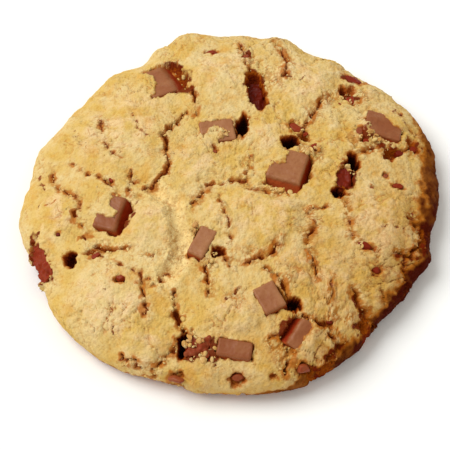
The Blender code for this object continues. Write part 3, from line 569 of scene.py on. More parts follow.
# Sides below the top face: dark red, partly the broken chocolate and partly painted shade
CHOCOLATE_FLANK = (134, 34, 6)
FLANK_LAYERS = (
    # Painted light on the sides that face the near side
    Layer((180, 84, 40), Mask("painted_front_light")),
    # Painted shade: nearly black red on the chunks deep in pits; on the chips a random darkness
    Layer((98, 16, 3), Mask("molten_and_shade", 0.85, 1.0)),
)
FLANK_MASK = Mask("side", 0.25, 0.85, 0.0, 0.95, "fleck")
FLECK_HEIGHT = 0.14

# Floor
FLOOR_DARK = (250, 250, 250)
FLOOR_PALE = (253, 253, 253)
FLOOR_CLOUD = 40.0
FLOOR_HALF_WIDTH = 1.5


def smooth_step(value):
    """Ease from 0 to 1 as value goes from 0 to 1."""
    value = np.clip(value, 0.0, 1.0)
    return value * value * (3.0 - 2.0 * value)


def noise(points, size, seed):
    """Smooth noise from -1 to 1 in space, with lumps of about the given size."""
    lattice = np.random.default_rng(seed).normal(size=(LATTICE, LATTICE, LATTICE, 3))
    lattice /= np.linalg.norm(lattice, axis=-1, keepdims=True)
    scaled = points / size
    cell = np.floor(scaled).astype(int)
    inside = scaled - cell
    fade = inside ** 3 * (inside * (inside * 6.0 - 15.0) + 10.0)
    total = np.zeros(len(points))
    for corner in np.ndindex(2, 2, 2):
        ix, iy, iz = ((cell + corner) % LATTICE).T
        slope = np.einsum("ij,ij->i", lattice[ix, iy, iz], inside - corner)
        weight = np.where(corner, fade, 1.0 - fade).prod(axis=1)
        total += slope * weight
    return total * NOISE_GAIN


def octaves(points, sizes, seed):
    """Sum of several layers of noise, given as size and height."""
    return sum(amount * noise(points, size, seed + index) for index, (size, amount) in enumerate(sizes))


def granules(points, size, seed):
    """Distances to the two nearest of many scattered centres, as shares of the given size."""
    centres = np.random.default_rng(seed).random((LATTICE, LATTICE, LATTICE, 3))
    scaled = points / size
    cell = np.floor(scaled).astype(int)
    inside = scaled - cell
    nearest = np.full(len(points), np.inf)
    second = nearest.copy()
    for corner in np.ndindex(3, 3, 3):
        offset = np.array(corner) - 1
        ix, iy, iz = ((cell + offset) % LATTICE).T
        away = np.linalg.norm(centres[ix, iy, iz] + offset - inside, axis=1)
        second = np.minimum(second, np.maximum(away, nearest))
        nearest = np.minimum(nearest, away)
    return nearest, second


def lobed(bearing, start, lobes):
    """A value that goes round the cookie with bulges and dents, at a bearing in radians."""
    value = np.full(np.shape(bearing), start)
    for lobe in lobes:
        offset = np.angle(np.exp(1j * (bearing - np.radians(lobe.bearing))))
        share = np.clip(np.abs(offset) / np.radians(lobe.half_width), 0.0, 1.0)
        value += lobe.height * np.cos(share * np.pi / 2) ** 2
    return value


def dome_height(x, y):
    """Height of the plain dome over a place in plan."""
    share = np.minimum(np.hypot(x, y) / lobed(np.arctan2(y, x), RADIUS, LOBES), 1.0)
    return WIDEST_Z + (THICKNESS - WIDEST_Z) * np.sqrt(1.0 - share ** DOME_POWER)


def side_profile():
    """Points from the crown over the rim to the edge of the base, by share of their length."""
    dome = np.linspace(0.0, np.pi / 2, PROFILE_SAMPLES)
    wall = dome[1:]
    reach = np.concatenate([np.sin(dome) ** (2.0 / DOME_POWER), 1.0 - BASE_TUCK * (1.0 - np.cos(wall))])
    height = np.concatenate(
        [WIDEST_Z + (THICKNESS - WIDEST_Z) * np.cos(dome), WIDEST_Z * (1.0 - np.sin(wall))])
    steps = np.hypot(np.diff(reach) * RADIUS, np.diff(height))
    length = np.concatenate([[0.0], np.cumsum(steps)])
    return length / length[-1], reach, height


def plain_shell(steps):
    """Points of a square grid wrapped over the plain cookie, with their outward directions."""
    line = np.linspace(-1.0, 1.0, 2 * steps + 1)
    across, along = (grid.ravel() for grid in np.meshgrid(line, line))
    flat = np.abs(across) >= np.abs(along)
    signed = np.where(flat, across, along)
    other = np.where(flat, along, across)
    ratio = np.divide(other, signed, out=np.zeros_like(signed), where=signed != 0)
    turn = np.where(flat, ratio, 2.0 - ratio) * np.pi / 4
    bearing = np.where(signed < 0, turn + np.pi, turn)
    share, reach, height = side_profile()
    out = np.interp(np.abs(signed), share, reach)
    radius = out * lobed(bearing, RADIUS, LOBES)
    points = np.column_stack(
        [radius * np.cos(bearing), radius * np.sin(bearing), np.interp(np.abs(signed), share, height)])
    rise = np.interp(np.abs(signed), share, np.gradient(reach * RADIUS, share))
    lean = np.interp(np.abs(signed), share, -np.gradient(height, share))
    length = np.hypot(rise, lean)
    normals = np.column_stack([lean * np.cos(bearing), lean * np.sin(bearing), rise]) / length[:, None]
    return points, normals


def local(points_x, points_y, x, y, yaw):
    """Coordinates along and across a feature that lies at x, y and is turned by yaw."""
    cos, sin = np.cos(np.radians(yaw)), np.sin(np.radians(yaw))
    dx, dy = points_x - x, points_y - y
    return dx * cos + dy * sin, dy * cos - dx * sin


def blob(x, y, feature):
    """1 at the middle of an oval feature, 0 at its edge and negative outside."""
    along, across = local(x, y, feature.x, feature.y, feature.yaw)
    return 1.0 - np.hypot(along / feature.long, across / feature.wide)


def distance_to_route(x, y, route):
    """Distance to a broken line, and the share of its length at the nearest point."""
    ends = np.array(route, dtype=float)
    spans = np.linalg.norm(np.diff(ends, axis=0), axis=1)
    before = np.concatenate([[0.0], np.cumsum(spans)])
    nearest = np.full(x.shape, np.inf)
    share = np.zeros(x.shape)
    for start, end, span, done in zip(ends[:-1], ends[1:], spans, before):
        step = (end - start) / span
        along = np.clip((x - start[0]) * step[0] + (y - start[1]) * step[1], 0.0, span)
        away = np.hypot(x - start[0] - along * step[0], y - start[1] - along * step[1])
        closer = away < nearest
        nearest = np.where(closer, away, nearest)
        share = np.where(closer, (done + along) / before[-1], share)
    return nearest, share


def depth_inside(x, y, outline):
    """Distance to a closed outline in plan, positive inside it."""
    corners = outline + outline[:1]
    away = distance_to_route(x, y, corners)[0]
    inside = np.zeros(x.shape, dtype=bool)
    for (start_x, start_y), (end_x, end_y) in zip(corners[:-1], corners[1:]):
        crosses = (start_y > y) != (end_y > y)
        if crosses.any():
            inside ^= crosses & (x < start_x + (y - start_y) * (end_x - start_x) / (end_y - start_y))
    return np.where(inside, away, -away)


def shown_inside(x, y, chunk):
    """Distance into the part of an opening that lies over its chunk, negative outside it."""
    along, across = local(x, y, chunk.x, chunk.y, chunk.yaw)
    left, right, near, far = chunk.slope
    return np.minimum.reduce([
        depth_inside(x, y, chunk.opening),
        OPEN_SLACK + chunk.long / 2 + right - along,
        SHELTERED_SLACK + chunk.long / 2 + left + along,
        SHELTERED_SLACK + chunk.wide / 2 + far - across,
        OPEN_SLACK + chunk.wide / 2 + near + across,
    ])


def lapped(x, y, chunk, within, height):
    """Height of the crust, raised where the dough laps over a chunk."""
    along, across = local(x, y, chunk.x, chunk.y, chunk.yaw)
    over = np.minimum(chunk.long / 2 - np.abs(along), chunk.wide / 2 - np.abs(across))
    lap = smooth_step(over / LAP_REACH + 0.5)
    raised = height + LAP_SWELL * lap * smooth_step(LAP_START - within / LAP_REACH)
    least = PUFF - chunk.sink + LAP_SKIN
    return np.maximum(raised, least - LAP_FALL * (1.0 - lap))


def placement(x, y, yaw, rise):
    """Matrix in metres of a thing that lies on the plain crust, raised along its upright."""
    reach = 0.5
    slope_x = (dome_height(x + reach, y) - dome_height(x - reach, y)) / (2 * reach)
    slope_y = (dome_height(x, y + reach) - dome_height(x, y - reach)) / (2 * reach)
    up = Vector((-slope_x, -slope_y, 1.0)).normalized()
    middle = Vector((x, y, float(dome_height(x, y)))) + up * rise
    turn = Vector((0.0, 0.0, 1.0)).rotation_difference(up).to_matrix().to_4x4()
    return Matrix.Translation(middle * MM) @ turn @ Matrix.Rotation(np.radians(yaw), 4, "Z")


def uneven(points, field):
    """A value that varies over the crust, within its limits."""
    value = field.middle + field.swing * noise(points, field.size, field.seed)
    return np.clip(value, field.least, field.most)


def patched(x, y, patches, start, sharpness):
    """The strongest of some oval patches at each place."""
    return np.maximum.reduce(
        [patch.depth * smooth_step(start + blob(x, y, patch) * sharpness) for patch in patches])


def crust(points):
    """Height of the crust above the plain cookie, and its looks at each point, from 0 to 1, some of them
    painted shade and light.
    """
    shift_x, shift_y = (
        EDGE_RAGGEDNESS * noise(points, EDGE_SIZE, edge_seed) + octaves(points, RAGGEDNESS, ragged_seed)
        for edge_seed, ragged_seed in SHIFT_SEEDS)
    x, y = points[:, 0] + shift_x, points[:, 1] + shift_y
    height = octaves(points, LUMPS, LUMP_SEED)
    plate, cut, window, dark, stain, broken, crack_core_shade, vale, gap, bumps = np.zeros((10, len(points)))
    for swell in SWELLS:
        lift = smooth_step(blob(x, y, swell) * SWELL_SHARPNESS)
        height += swell.height * lift
        plate = np.maximum(plate, lift)
    strength = uneven(points, LINE_STRENGTH)
    # Painted shade towards the lower right, the side away from the lamp
    shaded_side = smooth_step((SHADED_SIDE_X * points[:, 0] + SHADED_SIDE_Y * points[:, 1]) / SHADED_SIDE_REACH)
    stain_reach = STAIN_REACH * (1.0 + SHADED_SIDE_STAIN_GROWTH * shaded_side)
    for valley in VALLEYS:
        away = distance_to_route(x, y, valley.route)[0]
        height -= valley.depth * smooth_step(VALLEY_FRINGE - 2 * away / valley.width)
        # The valleys are painted paler, partly their pale crumb and partly painted light against their shade
        vale = np.maximum(vale, smooth_step(VALE_FRINGE - VALE_FRINGE * away / valley.width))
    for crack in CRACKS + FINE_CRACKS:
        away, share = distance_to_route(x, y, crack.route)
        taper = np.sqrt(np.clip(4.0 * share * (1.0 - share), LEAST_TAPER, 1.0))
        half = CRACK_NARROWING * crack.width / 2 * taper * strength
        beyond = np.maximum(away - half, 0.0)
        core = smooth_step(CRACK_FRINGE - away / half)
        cut = np.maximum(cut, CRACK_SHALLOWNESS * crack.depth * np.minimum(strength + 0.2, 1.2) * core)
        shoulder = FINE_CRACK_SHOULDER if crack in FINE_CRACKS else CRACK_SHOULDER
        height -= shoulder * np.exp(-(away / CRACK_SHOULDER_REACH) ** 2)
        edge = np.exp(-(beyond / stain_reach) ** 2) * strength
        stain = np.maximum(stain, edge * min(crack.depth / STAINING_DEPTH, 1.0))
        # Painted shade in the cores of the deeper cracks
        dark = np.maximum(dark, CRACK_GLOOM * core * strength * min(crack.depth / DARK_DEPTH, 1.0))
        # Painted shade along the cores of the cracks
        crack_core_shade = np.maximum(crack_core_shade, (1.0 - away / SEAM_REACH) * np.minimum(0.55 + 0.45 * strength, 1.0))
        broken = np.maximum(broken, np.exp(-(beyond / BREAK_REACH) ** 2) * min(crack.depth, 1.0))
    for hollow in HOLLOWS + POCKETS:
        inside = blob(x, y, hollow) * min(hollow.long, hollow.wide)
        cut = np.maximum(cut, hollow.depth * smooth_step(0.3 + inside / HOLLOW_EDGE))
        # Painted shade: the deep hollows are darkened, nearly to black
        gloom = min(max(HOLLOW_GLOOM * (hollow.depth - BRIGHT_DEPTH), LEAST_GLOOM), MOST_GLOOM)
        dark = np.maximum(dark, gloom * smooth_step(0.6 + inside / GLOOM_EDGE))
        stained = POCKET_STAIN if hollow in POCKETS else 1.0
        stain = np.maximum(stain, stained * smooth_step(1.0 + inside / STAIN_REACH))
    for chunk in CHUNKS:
        within = shown_inside(x, y, chunk)
        height = lapped(x, y, chunk, within, height)
        opened = smooth_step(0.5 + within / WINDOW_EDGE)
        window = np.maximum(window, WINDOW_SHARE * chunk.depth * opened)
        stain = np.maximum(stain, smooth_step(1.0 + within / STAIN_REACH))
        broken = np.maximum(broken, WINDOW_CRUMBLE * smooth_step(1.0 + within / WINDOW_CRUMBLE_REACH))
    for chip in CHIPS + SPECKS:
        along, across = local(x, y, chip.x, chip.y, chip.yaw)
        ring = 1.0 - np.hypot(along / (chip.long * NEST_LONG), across / (chip.wide * NEST_WIDE))
        cut = np.maximum(cut, NEST_DEPTH * smooth_step(ring * NEST_SHARPNESS) * strength)
        stain = np.maximum(stain, NEST_STAIN * smooth_step(1.0 + ring * NEST_STAIN_SHARPNESS) * strength)
    crumb = patched(x, y, CRUMB_PATCHES, 0.2, CRUMB_PATCH_SHARPNESS) * uneven(points, CRUMB_SHARE)
    smear = patched(x, y, SMEARS, 0.5, SMEAR_SHARPNESS) * uneven(points, SMEAR_SHARE)
    side = smooth_step((points[:, 0] + CRUMBLE_START) / CRUMBLE_REACH)
    crumbly = SMOOTH_SIDE + (CRUMBLY_SIDE - SMOOTH_SIDE) * side
    rough = np.maximum(crumb, broken) + CRUMBLE_SWING * noise(points, CRUMBLE_PATCH, CRUMBLE_SEED)
    rough = np.clip(rough, LEAST_CRUMBLE, 1.0) * crumbly
    wander = [octaves(points, WANDER, WANDER_SEED + WANDER_SEED_STEP * axis) for axis in range(3)]
    wandering = points + np.column_stack(wander)
    shaken = points + np.column_stack([shift_x, shift_y, 0.5 * (shift_x - shift_y)])
    for index, (size, amount) in enumerate(CRUMB_SIZES):
        near, second = granules(shaken, size, GRANULE_SEED + index)
        lump = rough * amount * (CRUMB_CROWN - CRUMB_FALL * near ** 2)
        height += lump
        bumps += lump
        # Creases between the crumbs: partly painted shade
        gap = np.maximum(gap, rough * (1.0 - smooth_step((second - near) / GAP_WIDTH)))
    for index, (size, width, depth) in enumerate(FISSURE_SIZES):
        near, second = granules(wandering, size, FISSURE_SEED + index)
        patchy = noise(points, FISSURE_PATCH * size, FISSURE_PATCH_SEED + index)
        shown = smooth_step(FISSURE_SWING * patchy + LEFT_FISSURES + RIGHT_FISSURES * side)
        line = shown * (1.0 - smooth_step((second - near) / width))
        cut = np.maximum(cut, depth * line)
        # Painted shade in the fissures towards the lower right
        crack_core_shade = np.maximum(crack_core_shade, shaded_side * shown * (1.0 - FISSURE_SEAM * (second - near) / width))
        stain = np.maximum(stain, FISSURE_STAIN * line)
    grain = octaves(points, GRAIN, GRAIN_SEED) * crumbly
    height += grain
    bumps += grain
    pits = smooth_step((noise(points, PIT_SIZE, PIT_SEED) - PIT_RARITY) * PIT_SHARPNESS)
    pits *= uneven(points, PIT_SHARE)
    height -= PIT_DEPTH * pits
    bearing = np.arctan2(points[:, 1], points[:, 0])
    # The browning climbs higher on the right and lower right: painted shade on the side away from the lamp
    brown = lobed(bearing, BROWN_HEIGHT, BROWNING_AND_SHADE) + octaves(points, BROWN_RAGGEDNESS, BROWN_SEED)
    toast_and_shade = smooth_step(0.5 + (brown - points[:, 2]) / BROWN_SOFTNESS)
    looks = {
        # The cut look is mostly painted shade: darker the deeper the cut, and in the hollows and openings
        # round the chunks
        "cut": np.maximum.reduce([cut / CUT_SCALE, dark, WINDOW_GLOOM * window / CUT_SCALE]),
        "smear": smear,
        "stain": stain,
        "crumb": np.maximum(crumb, BROKEN_CRUMB * broken),
        "gap": gap,
        "crack_core_shade": crack_core_shade,
        "vale": vale,
        "plate": plate,
        # How high the fine relief stands; it paints the tops paler and the lows deeper golden
        "rise": 0.5 + bumps / BUMP_RANGE,
        "pit": pits,
        "toast_and_shade": toast_and_shade * lobed(bearing, LEAST_DARKENING, DARKENING),
        "baked": SHADED_SIDE_SHARE * shaded_side * uneven(points, SHADE_AND_TONE_SHARE),
    }
    looks = {name: np.clip(values, 0.0, 1.0) for name, values in looks.items()}
    return (height - np.maximum(cut, window)) * smooth_step(points[:, 2] / RIM_FADE_Z), looks


def add_piece(name, mesh, material, slot, *nodes):
    """Put a mesh in the scene as a piece that stands for some of the solids, kept inside their box."""
    places = np.clip(read_vectors(mesh.vertices, "co"), *np.array(cad_box))
    mesh.vertices.foreach_set("co", places.astype(np.float32).ravel())
    mesh.materials.clear()
    mesh.materials.append(material)
    mesh.shade_smooth()
    piece = bpy.data.objects.new(name, mesh)
    bpy.context.scene.collection.objects.link(piece)
    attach(piece, "root")
    if nodes:
        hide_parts(*nodes)
    return piece


def read_vectors(items, name):
    """A vector of each mesh element as an array."""
    values = np.empty(len(items) * 3, dtype=np.float32)
    items.foreach_get(name, values)
    return values.reshape(-1, 3).astype(float)


def set_looks(mesh, looks):
    """Store a value of each point under each name."""
    for name, values in looks.items():
        attribute = mesh.attributes.new(name, "FLOAT", "POINT")
        attribute.data.foreach_set("value", np.asarray(values, dtype=np.float32))


def crust_mesh():
    """Closed mesh of the whole dough, with its looks, and the places of its points in millimetres."""
    points, normals = plain_shell(GRID_STEPS)
    height, looks = crust(points)
    points = points + normals * height[:, None]
    side = 2 * GRID_STEPS + 1
    index = np.arange(side * side).reshape(side, side)
    quads = np.stack([index[:-1, :-1], index[:-1, 1:], index[1:, 1:], index[1:, :-1]], axis=-1)
    rim = np.concatenate([index[0, :-1], index[:-1, -1], index[-1, :0:-1], index[:0:-1, 0]])
    mesh = bpy.data.meshes.new("dough")
    mesh.from_pydata(points * MM, [], quads.reshape(-1, 4).tolist() + [rim[::-1].tolist()])
    mesh.update()
    set_looks(mesh, looks)
    return mesh, points, normals, looks


def chunk_block(chunk):
    """Plain block of chocolate with bevelled edges, its top face at height 0."""
    left, right, near, far = chunk.slope
    half_long, half_wide = chunk.long / 2, chunk.wide / 2
    top = (
        (-half_long, -half_wide), (half_long, -half_wide), (half_long, half_wide), (-half_long, half_wide))
    bottom = (
        (-half_long - left, -half_wide - near), (half_long + right, -half_wide - near),
        (half_long + right, half_wide + far), (-half_long - left, half_wide + far))
    block = bmesh.new()
    upper = [block.verts.new((x * MM, y * MM, 0.0)) for x, y in top]
    lower = [block.verts.new((x * MM, y * MM, -chunk.depth * MM)) for x, y in bottom]
    block.faces.new(upper)
    block.faces.new(lower[::-1])
    for here in range(4):
        after = (here + 1) % 4
        block.faces.new((lower[here], lower[after], upper[after], upper[here]))
    bmesh.ops.bevel(
        block, geom=block.edges[:], offset=CHUNK_BEVEL * MM, segments=2, profile=0.5, affect="EDGES")
    mesh = bpy.data.meshes.new("block")
    block.to_mesh(mesh)
    block.free()
    return mesh


def voxel_mesh(mesh):
    """The same body with small even faces."""
    carrier = bpy.data.objects.new("carrier", mesh)
    bpy.context.scene.collection.objects.link(carrier)
    remesh = carrier.modifiers.new("remesh", "REMESH")
    remesh.mode = "VOXEL"
    remesh.voxel_size = CHUNK_VOXEL * MM
    graph = bpy.context.evaluated_depsgraph_get()
    fine = bpy.data.meshes.new_from_object(carrier.evaluated_get(graph))
    bpy.data.objects.remove(carrier)
    return fine


def chunk_mesh(chunk):
    """Chunk of chocolate with slightly wavy faces and worn edges, in its place in the crust."""
    fine = voxel_mesh(chunk_block(chunk))
    points = read_vectors(fine.vertices, "co") / MM
    normals = read_vectors(fine.vertices, "normal")
    finish = FINISHES[chunk.name]
    place = points + np.array([chunk.x, chunk.y, 0.0])
    wave = octaves(place, CHUNK_WAVES, CHUNK_SEED) - CHUNK_WEAR
    if finish.roughness > BROKEN_FACE:
        wave += BROKEN_HEIGHT * (0.5 - granules(place, BROKEN_SIZE, BROKEN_SEED)[0])
    points += normals * (finish.roughness * wave)[:, None]
    # Sides below the top are painted darker red, partly as painted shade, and sides facing the near side get
    # a painted light
    below = smooth_step(-points[:, 2] / SIDE_DEPTH)
    set_looks(fine, {
        "side": np.maximum(below, finish.darkness),
        "painted_front_light": below * np.clip(-FRONT_GAIN * normals[:, 1] - FRONT_START, 0.0, 1.0),
        "pale": np.full(len(points), finish.paleness),
        "molten_and_shade": np.full(len(points), finish.darkness),
    })
    fine.vertices.foreach_set("co", (points * MM).astype(np.float32).ravel())
    fine.transform(placement(chunk.x, chunk.y, chunk.yaw, PUFF - chunk.sink))
    fine.update()
    return fine


def joined_mesh(name, points, faces):
    """One mesh from lists of point arrays and face arrays."""
    offsets = np.cumsum([0] + [len(part) for part in points[:-1]])
    joined = np.concatenate([part + offset for part, offset in zip(faces, offsets)])
    mesh = bpy.data.meshes.new(name)
    mesh.from_pydata(np.concatenate(points) * MM, [], joined.tolist())
    mesh.update()
    return mesh


def ball(subdivisions):
    """Points and triangles of a unit icosphere."""
    sphere = bmesh.new()
    bmesh.ops.create_icosphere(sphere, subdivisions=subdivisions, radius=1.0)
    points = np.array([vertex.co for vertex in sphere.verts])
    faces = np.array([[vertex.index for vertex in face.verts] for face in sphere.faces])
    sphere.free()
    return points, faces


def broken_lump(shape, rng, cuts):
    """A unit ball cut by planes into a lump with flat faces, one of them on top."""
    facing = rng.normal(size=(cuts, 3))
    facing = np.vstack([facing / np.linalg.norm(facing, axis=1, keepdims=True), [0.0, 0.0, 1.0]])
    reach = np.append(rng.uniform(*LUMP_REACH, cuts), LUMP_TOP)
    along = shape @ facing.T
    limit = np.where(along > GRAZING, reach / np.maximum(along, GRAZING), np.inf).min(axis=1)
    return shape * np.minimum(limit, 1.0)[:, None]


def chips_mesh(dough_points):
    """All the small chips, as broken lumps sunk in the crust."""
    shape, triangles = ball(4)
    rng = np.random.default_rng(CHIP_SEED)
    points, faces, sides, pales = [], [], [], []
    for index, chip in enumerate(CHIPS + SPECKS):
        thickness, sink = SPECK_BODY if chip in SPECKS else CHIP_BODY
        lump = broken_lump(shape, rng, CHIP_CUTS)
        wave = noise(lump + CHIP_SPACING * index, CHIP_WAVE_SIZE, CHIP_WAVE_SEED)
        lump *= (1.0 + CHIP_WAVE * wave)[:, None]
        lump = lump * np.array([chip.long / 2 * CHIP_GROWTH, chip.wide / 2 * CHIP_GROWTH, thickness])
        away = np.hypot(dough_points[:, 0] - chip.x, dough_points[:, 1] - chip.y)
        nearest = chip.long * COLLAR_START
        around = (away > nearest) & (away < nearest + COLLAR_WIDTH) & (dough_points[:, 2] > WIDEST_Z)
        level = np.median(dough_points[around, 2]) - dome_height(chip.x, chip.y)
        matrix = np.array(placement(chip.x, chip.y, chip.yaw, float(level) - sink))
        points.append(lump @ matrix[:3, :3].T + matrix[:3, 3] / MM)
        faces.append(triangles)
        sides.append(np.full(len(shape), rng.uniform(*CHIP_DARKNESS)))
        pales.append(np.full(len(shape), rng.uniform(*CHIP_PALENESS)))
    mesh = joined_mesh("chips", points, faces)
    sides = np.concatenate(sides)
    set_looks(mesh, {"side": sides, "molten_and_shade": sides, "pale": np.concatenate(pales)})
    return mesh


def spilled_places(rng):
    """Places of the crumbs that lie on the chocolate."""
    places = []
    for spill in SPILLS:
        count = int(SPILL_DENSITY * spill.long * spill.wide)
        turn = rng.uniform(0.0, 2.0 * np.pi, count)
        out = np.sqrt(rng.random(count))
        cos, sin = np.cos(np.radians(spill.yaw)), np.sin(np.radians(spill.yaw))
        along, across = spill.long * out * np.cos(turn), spill.wide * out * np.sin(turn)
        x = spill.x + along * cos - across * sin
        y = spill.y + along * sin + across * cos
        places.append(np.column_stack([x, y, dome_height(x, y) + spill.depth]))
    return np.concatenate(places)


def dough_crumbs(points, normals, looks):
    """Crumbs of dough lying in the broken places of the crust and over the edges of the chunks."""
    rng = np.random.default_rng(CRUMB_SEED)
    weight = (looks["crumb"] + STRAY_CRUMBS) ** CRUMB_GATHERING * (1.0 - CRACK_EMPTINESS * looks["cut"])
    weight = np.where(points[:, 2] > CRUMB_LOWEST, weight, 0.0)
    chosen = rng.choice(len(points), size=CRUMB_COUNT, p=weight / weight.sum())
    least, most = CRUMB_RADIUS
    sizes = least + (most - least) * rng.power(CRUMB_FINENESS, CRUMB_COUNT) ** CRUMB_RARITY
    sites = points[chosen] - normals[chosen] * (sizes * rng.uniform(*CRUMB_SINK, CRUMB_COUNT))[:, None]
    sites += rng.normal(scale=CRUMB_SCATTER, size=sites.shape)
    worn = {name: values[chosen] for name, values in looks.items()}
    for name in ("cut", "stain", "gap", "smear", "crack_core_shade"):
        worn[name] = worn[name] * CRUMB_PALENESS
    worn["rise"] = rng.uniform(*CRUMB_RISE, CRUMB_COUNT)
    spilled = spilled_places(rng)
    sites = np.concatenate([sites, spilled])
    least, most = SPILL_RADIUS
    sizes = np.append(sizes, least + (most - least) * rng.random(len(spilled)) ** SPILL_RARITY)
    for name, values in worn.items():
        worn[name] = np.append(values, rng.uniform(*SPILL_LOOKS.get(name, (0.0, 0.0)), len(spilled)))
    shape, triangles = ball(2)
    lumps, faces = [], []
    for site, size in zip(sites, sizes):
        turn = np.linalg.qr(rng.normal(size=(3, 3)))[0]
        turn[:, 0] *= np.sign(np.linalg.det(turn))
        lump = broken_lump(shape, rng, CRUMB_CUTS) * rng.uniform(*CRUMB_STRETCH, size=3)
        lumps.append(lump @ turn * size + site)
        faces.append(triangles)
    mesh = joined_mesh("crumbs", lumps, faces)
    set_looks(mesh, {name: np.repeat(values, len(shape)) for name, values in worn.items()})
    return mesh


def linear(red, green, blue):
    """Linear colour of an sRGB colour given from 0 to 255."""
    channels = np.array([red, green, blue]) / 255.0
    flat = np.where(channels <= 0.04045, channels / 12.92, ((channels + 0.055) / 1.055) ** 2.4)
    return (*flat.tolist(), 1.0)


def node(tree, kind, inputs=None, **settings):
    """Add a node, set it up and feed its inputs with values or other nodes' outputs."""
    made = tree.nodes.new(kind)
    for name, value in settings.items():
        setattr(made, name, value)
    for name, value in (inputs or {}).items():
        if isinstance(value, bpy.types.NodeSocket):
            tree.links.new(value, made.inputs[name])
        else:
            made.inputs[name].default_value = value
    return made


def mixed(tree, factor, first, second):
    """Mix two colours."""
    return node(tree, "ShaderNodeMix", {0: factor, 6: first, 7: second}, data_type="RGBA").outputs[2]


def ranged(tree, value, low, high, start=0.0, end=1.0):
    """Map a value from one range to another, clamped."""
    made = node(tree, "ShaderNodeMapRange", {0: value, 1: low, 2: high, 3: start, 4: end})
    return made.outputs[0]


def combined(tree, first, second, operation="MULTIPLY"):
    """Two values put together."""
    return node(tree, "ShaderNodeMath", {0: first, 1: second}, operation=operation).outputs[0]


def mottle(tree, place, size_mm, detail=2.0, roughness=0.5):
    """Noise whose lumps are about the given size."""
    made = node(tree, "ShaderNodeTexNoise", {"Vector": place, "Scale": 1000.0 / size_mm, "Detail": detail,
                                             "Roughness": roughness})
    return made.outputs["Fac"]


def grains(tree, place, size_mm):
    """Distance to the nearest of scattered centres about the given size apart."""
    made = node(tree, "ShaderNodeTexVoronoi", {"Vector": place, "Scale": 1000.0 / size_mm})
    return made.outputs["Distance"]


def crackle(tree, place, size_mm, width_mm):
    """Thin wandering lines between cells of about the given size, 1 on a line and 0 off it."""
    drift = node(tree, "ShaderNodeTexNoise", {
        "Vector": place, "Scale": 1000.0 / (CRACKLE_DRIFT * size_mm), "Detail": 4.0})
    spread = node(tree, "ShaderNodeVectorMath", {0: drift.outputs["Color"]}, operation="SCALE")
    spread.inputs["Scale"].default_value = size_mm * MM
    moved = node(tree, "ShaderNodeVectorMath", {0: place, 1: spread.outputs[0]}, operation="ADD")
    cells = node(tree, "ShaderNodeTexVoronoi", {
        "Vector": moved.outputs[0], "Scale": 1000.0 / size_mm}, feature="DISTANCE_TO_EDGE")
    core = CRACKLE_CORE * width_mm / size_mm
    return ranged(tree, cells.outputs["Distance"], core, width_mm / size_mm, 1.0, 0.0)


def new_material(name):
    """Material with its shader and the object coordinates."""
    material = bpy.data.materials.new(name)
    material.use_nodes = True
    tree = material.node_tree
    shader = tree.nodes["Principled BSDF"]
    place = node(tree, "ShaderNodeTexCoord").outputs["Object"]
    return material, tree, shader, place


def attribute(tree, name):
    """A value stored on the mesh."""
    return node(tree, "ShaderNodeAttribute", attribute_name=name).outputs["Fac"]


def masked(tree, fields, mask):
    """How strongly a layer of colour shows, from a field of the crust, with ragged edges if it has them."""
    value = fields[mask.field] if mask.field in fields else attribute(tree, mask.field)
    if mask.ragged:
        fray = ranged(tree, fields[mask.ragged], *FRAY_RANGE, -FRAY, FRAY)
        value = combined(tree, value, fray, "ADD")
    return ranged(tree, value, mask.low, mask.high, mask.start, mask.end)


def layered(tree, fields, colour, layers):
    """Lay colours one over another, each where its masks let it show."""
    for layer in layers:
        strength = masked(tree, fields, layer.mask)
        if layer.second:
            strength = combined(tree, strength, masked(tree, fields, layer.second))
        colour = mixed(tree, strength, colour, linear(*layer.colour))
    return colour


def crust_material():
    """Golden crust from the oven, paler on the plates, crumbly in the breaks and brown in cracks and at the
    base, with painted shade in the cracks, hollows and creases, on the right of the rim and towards the
    lower right, and painted light in the valleys and on the tops of the lumps.
    """
    material, tree, shader, place = new_material("crust")
    fields = {name: mottle(tree, place, *texture) for name, texture in CRUST_MOTTLES.items()}
    fields["crackle"] = crackle(tree, place, CRACKLE_SIZE, CRACKLE_WIDTH)
    colour = layered(tree, fields, linear(*CRUST_BASE), CRUST_LAYERS)
    tree.links.new(colour, shader.inputs["Base Color"])
    shader.inputs["Roughness"].default_value = CRUST_ROUGHNESS
    dull = attribute(tree, "cut")
    for name in ("toast_and_shade", "smear"):
        dull = combined(tree, dull, attribute(tree, name), "MAXIMUM")
    tree.links.new(ranged(tree, dull, 0.1, 0.5, *CRUST_SHINE), shader.inputs["Specular IOR Level"])
    coarse = node(tree, "ShaderNodeBump", {
        "Height": grains(tree, place, GRANULE_SIZE), "Strength": 0.7, "Distance": GRANULE_HEIGHT * MM},
        invert=True)
    fine = node(tree, "ShaderNodeBump", {
        "Height": fields["grain"], "Strength": 0.65, "Distance": GRAIN_HEIGHT * MM,
        "Normal": coarse.outputs["Normal"]})
    tree.links.new(fine.outputs["Normal"], shader.inputs["Normal"])
    return material


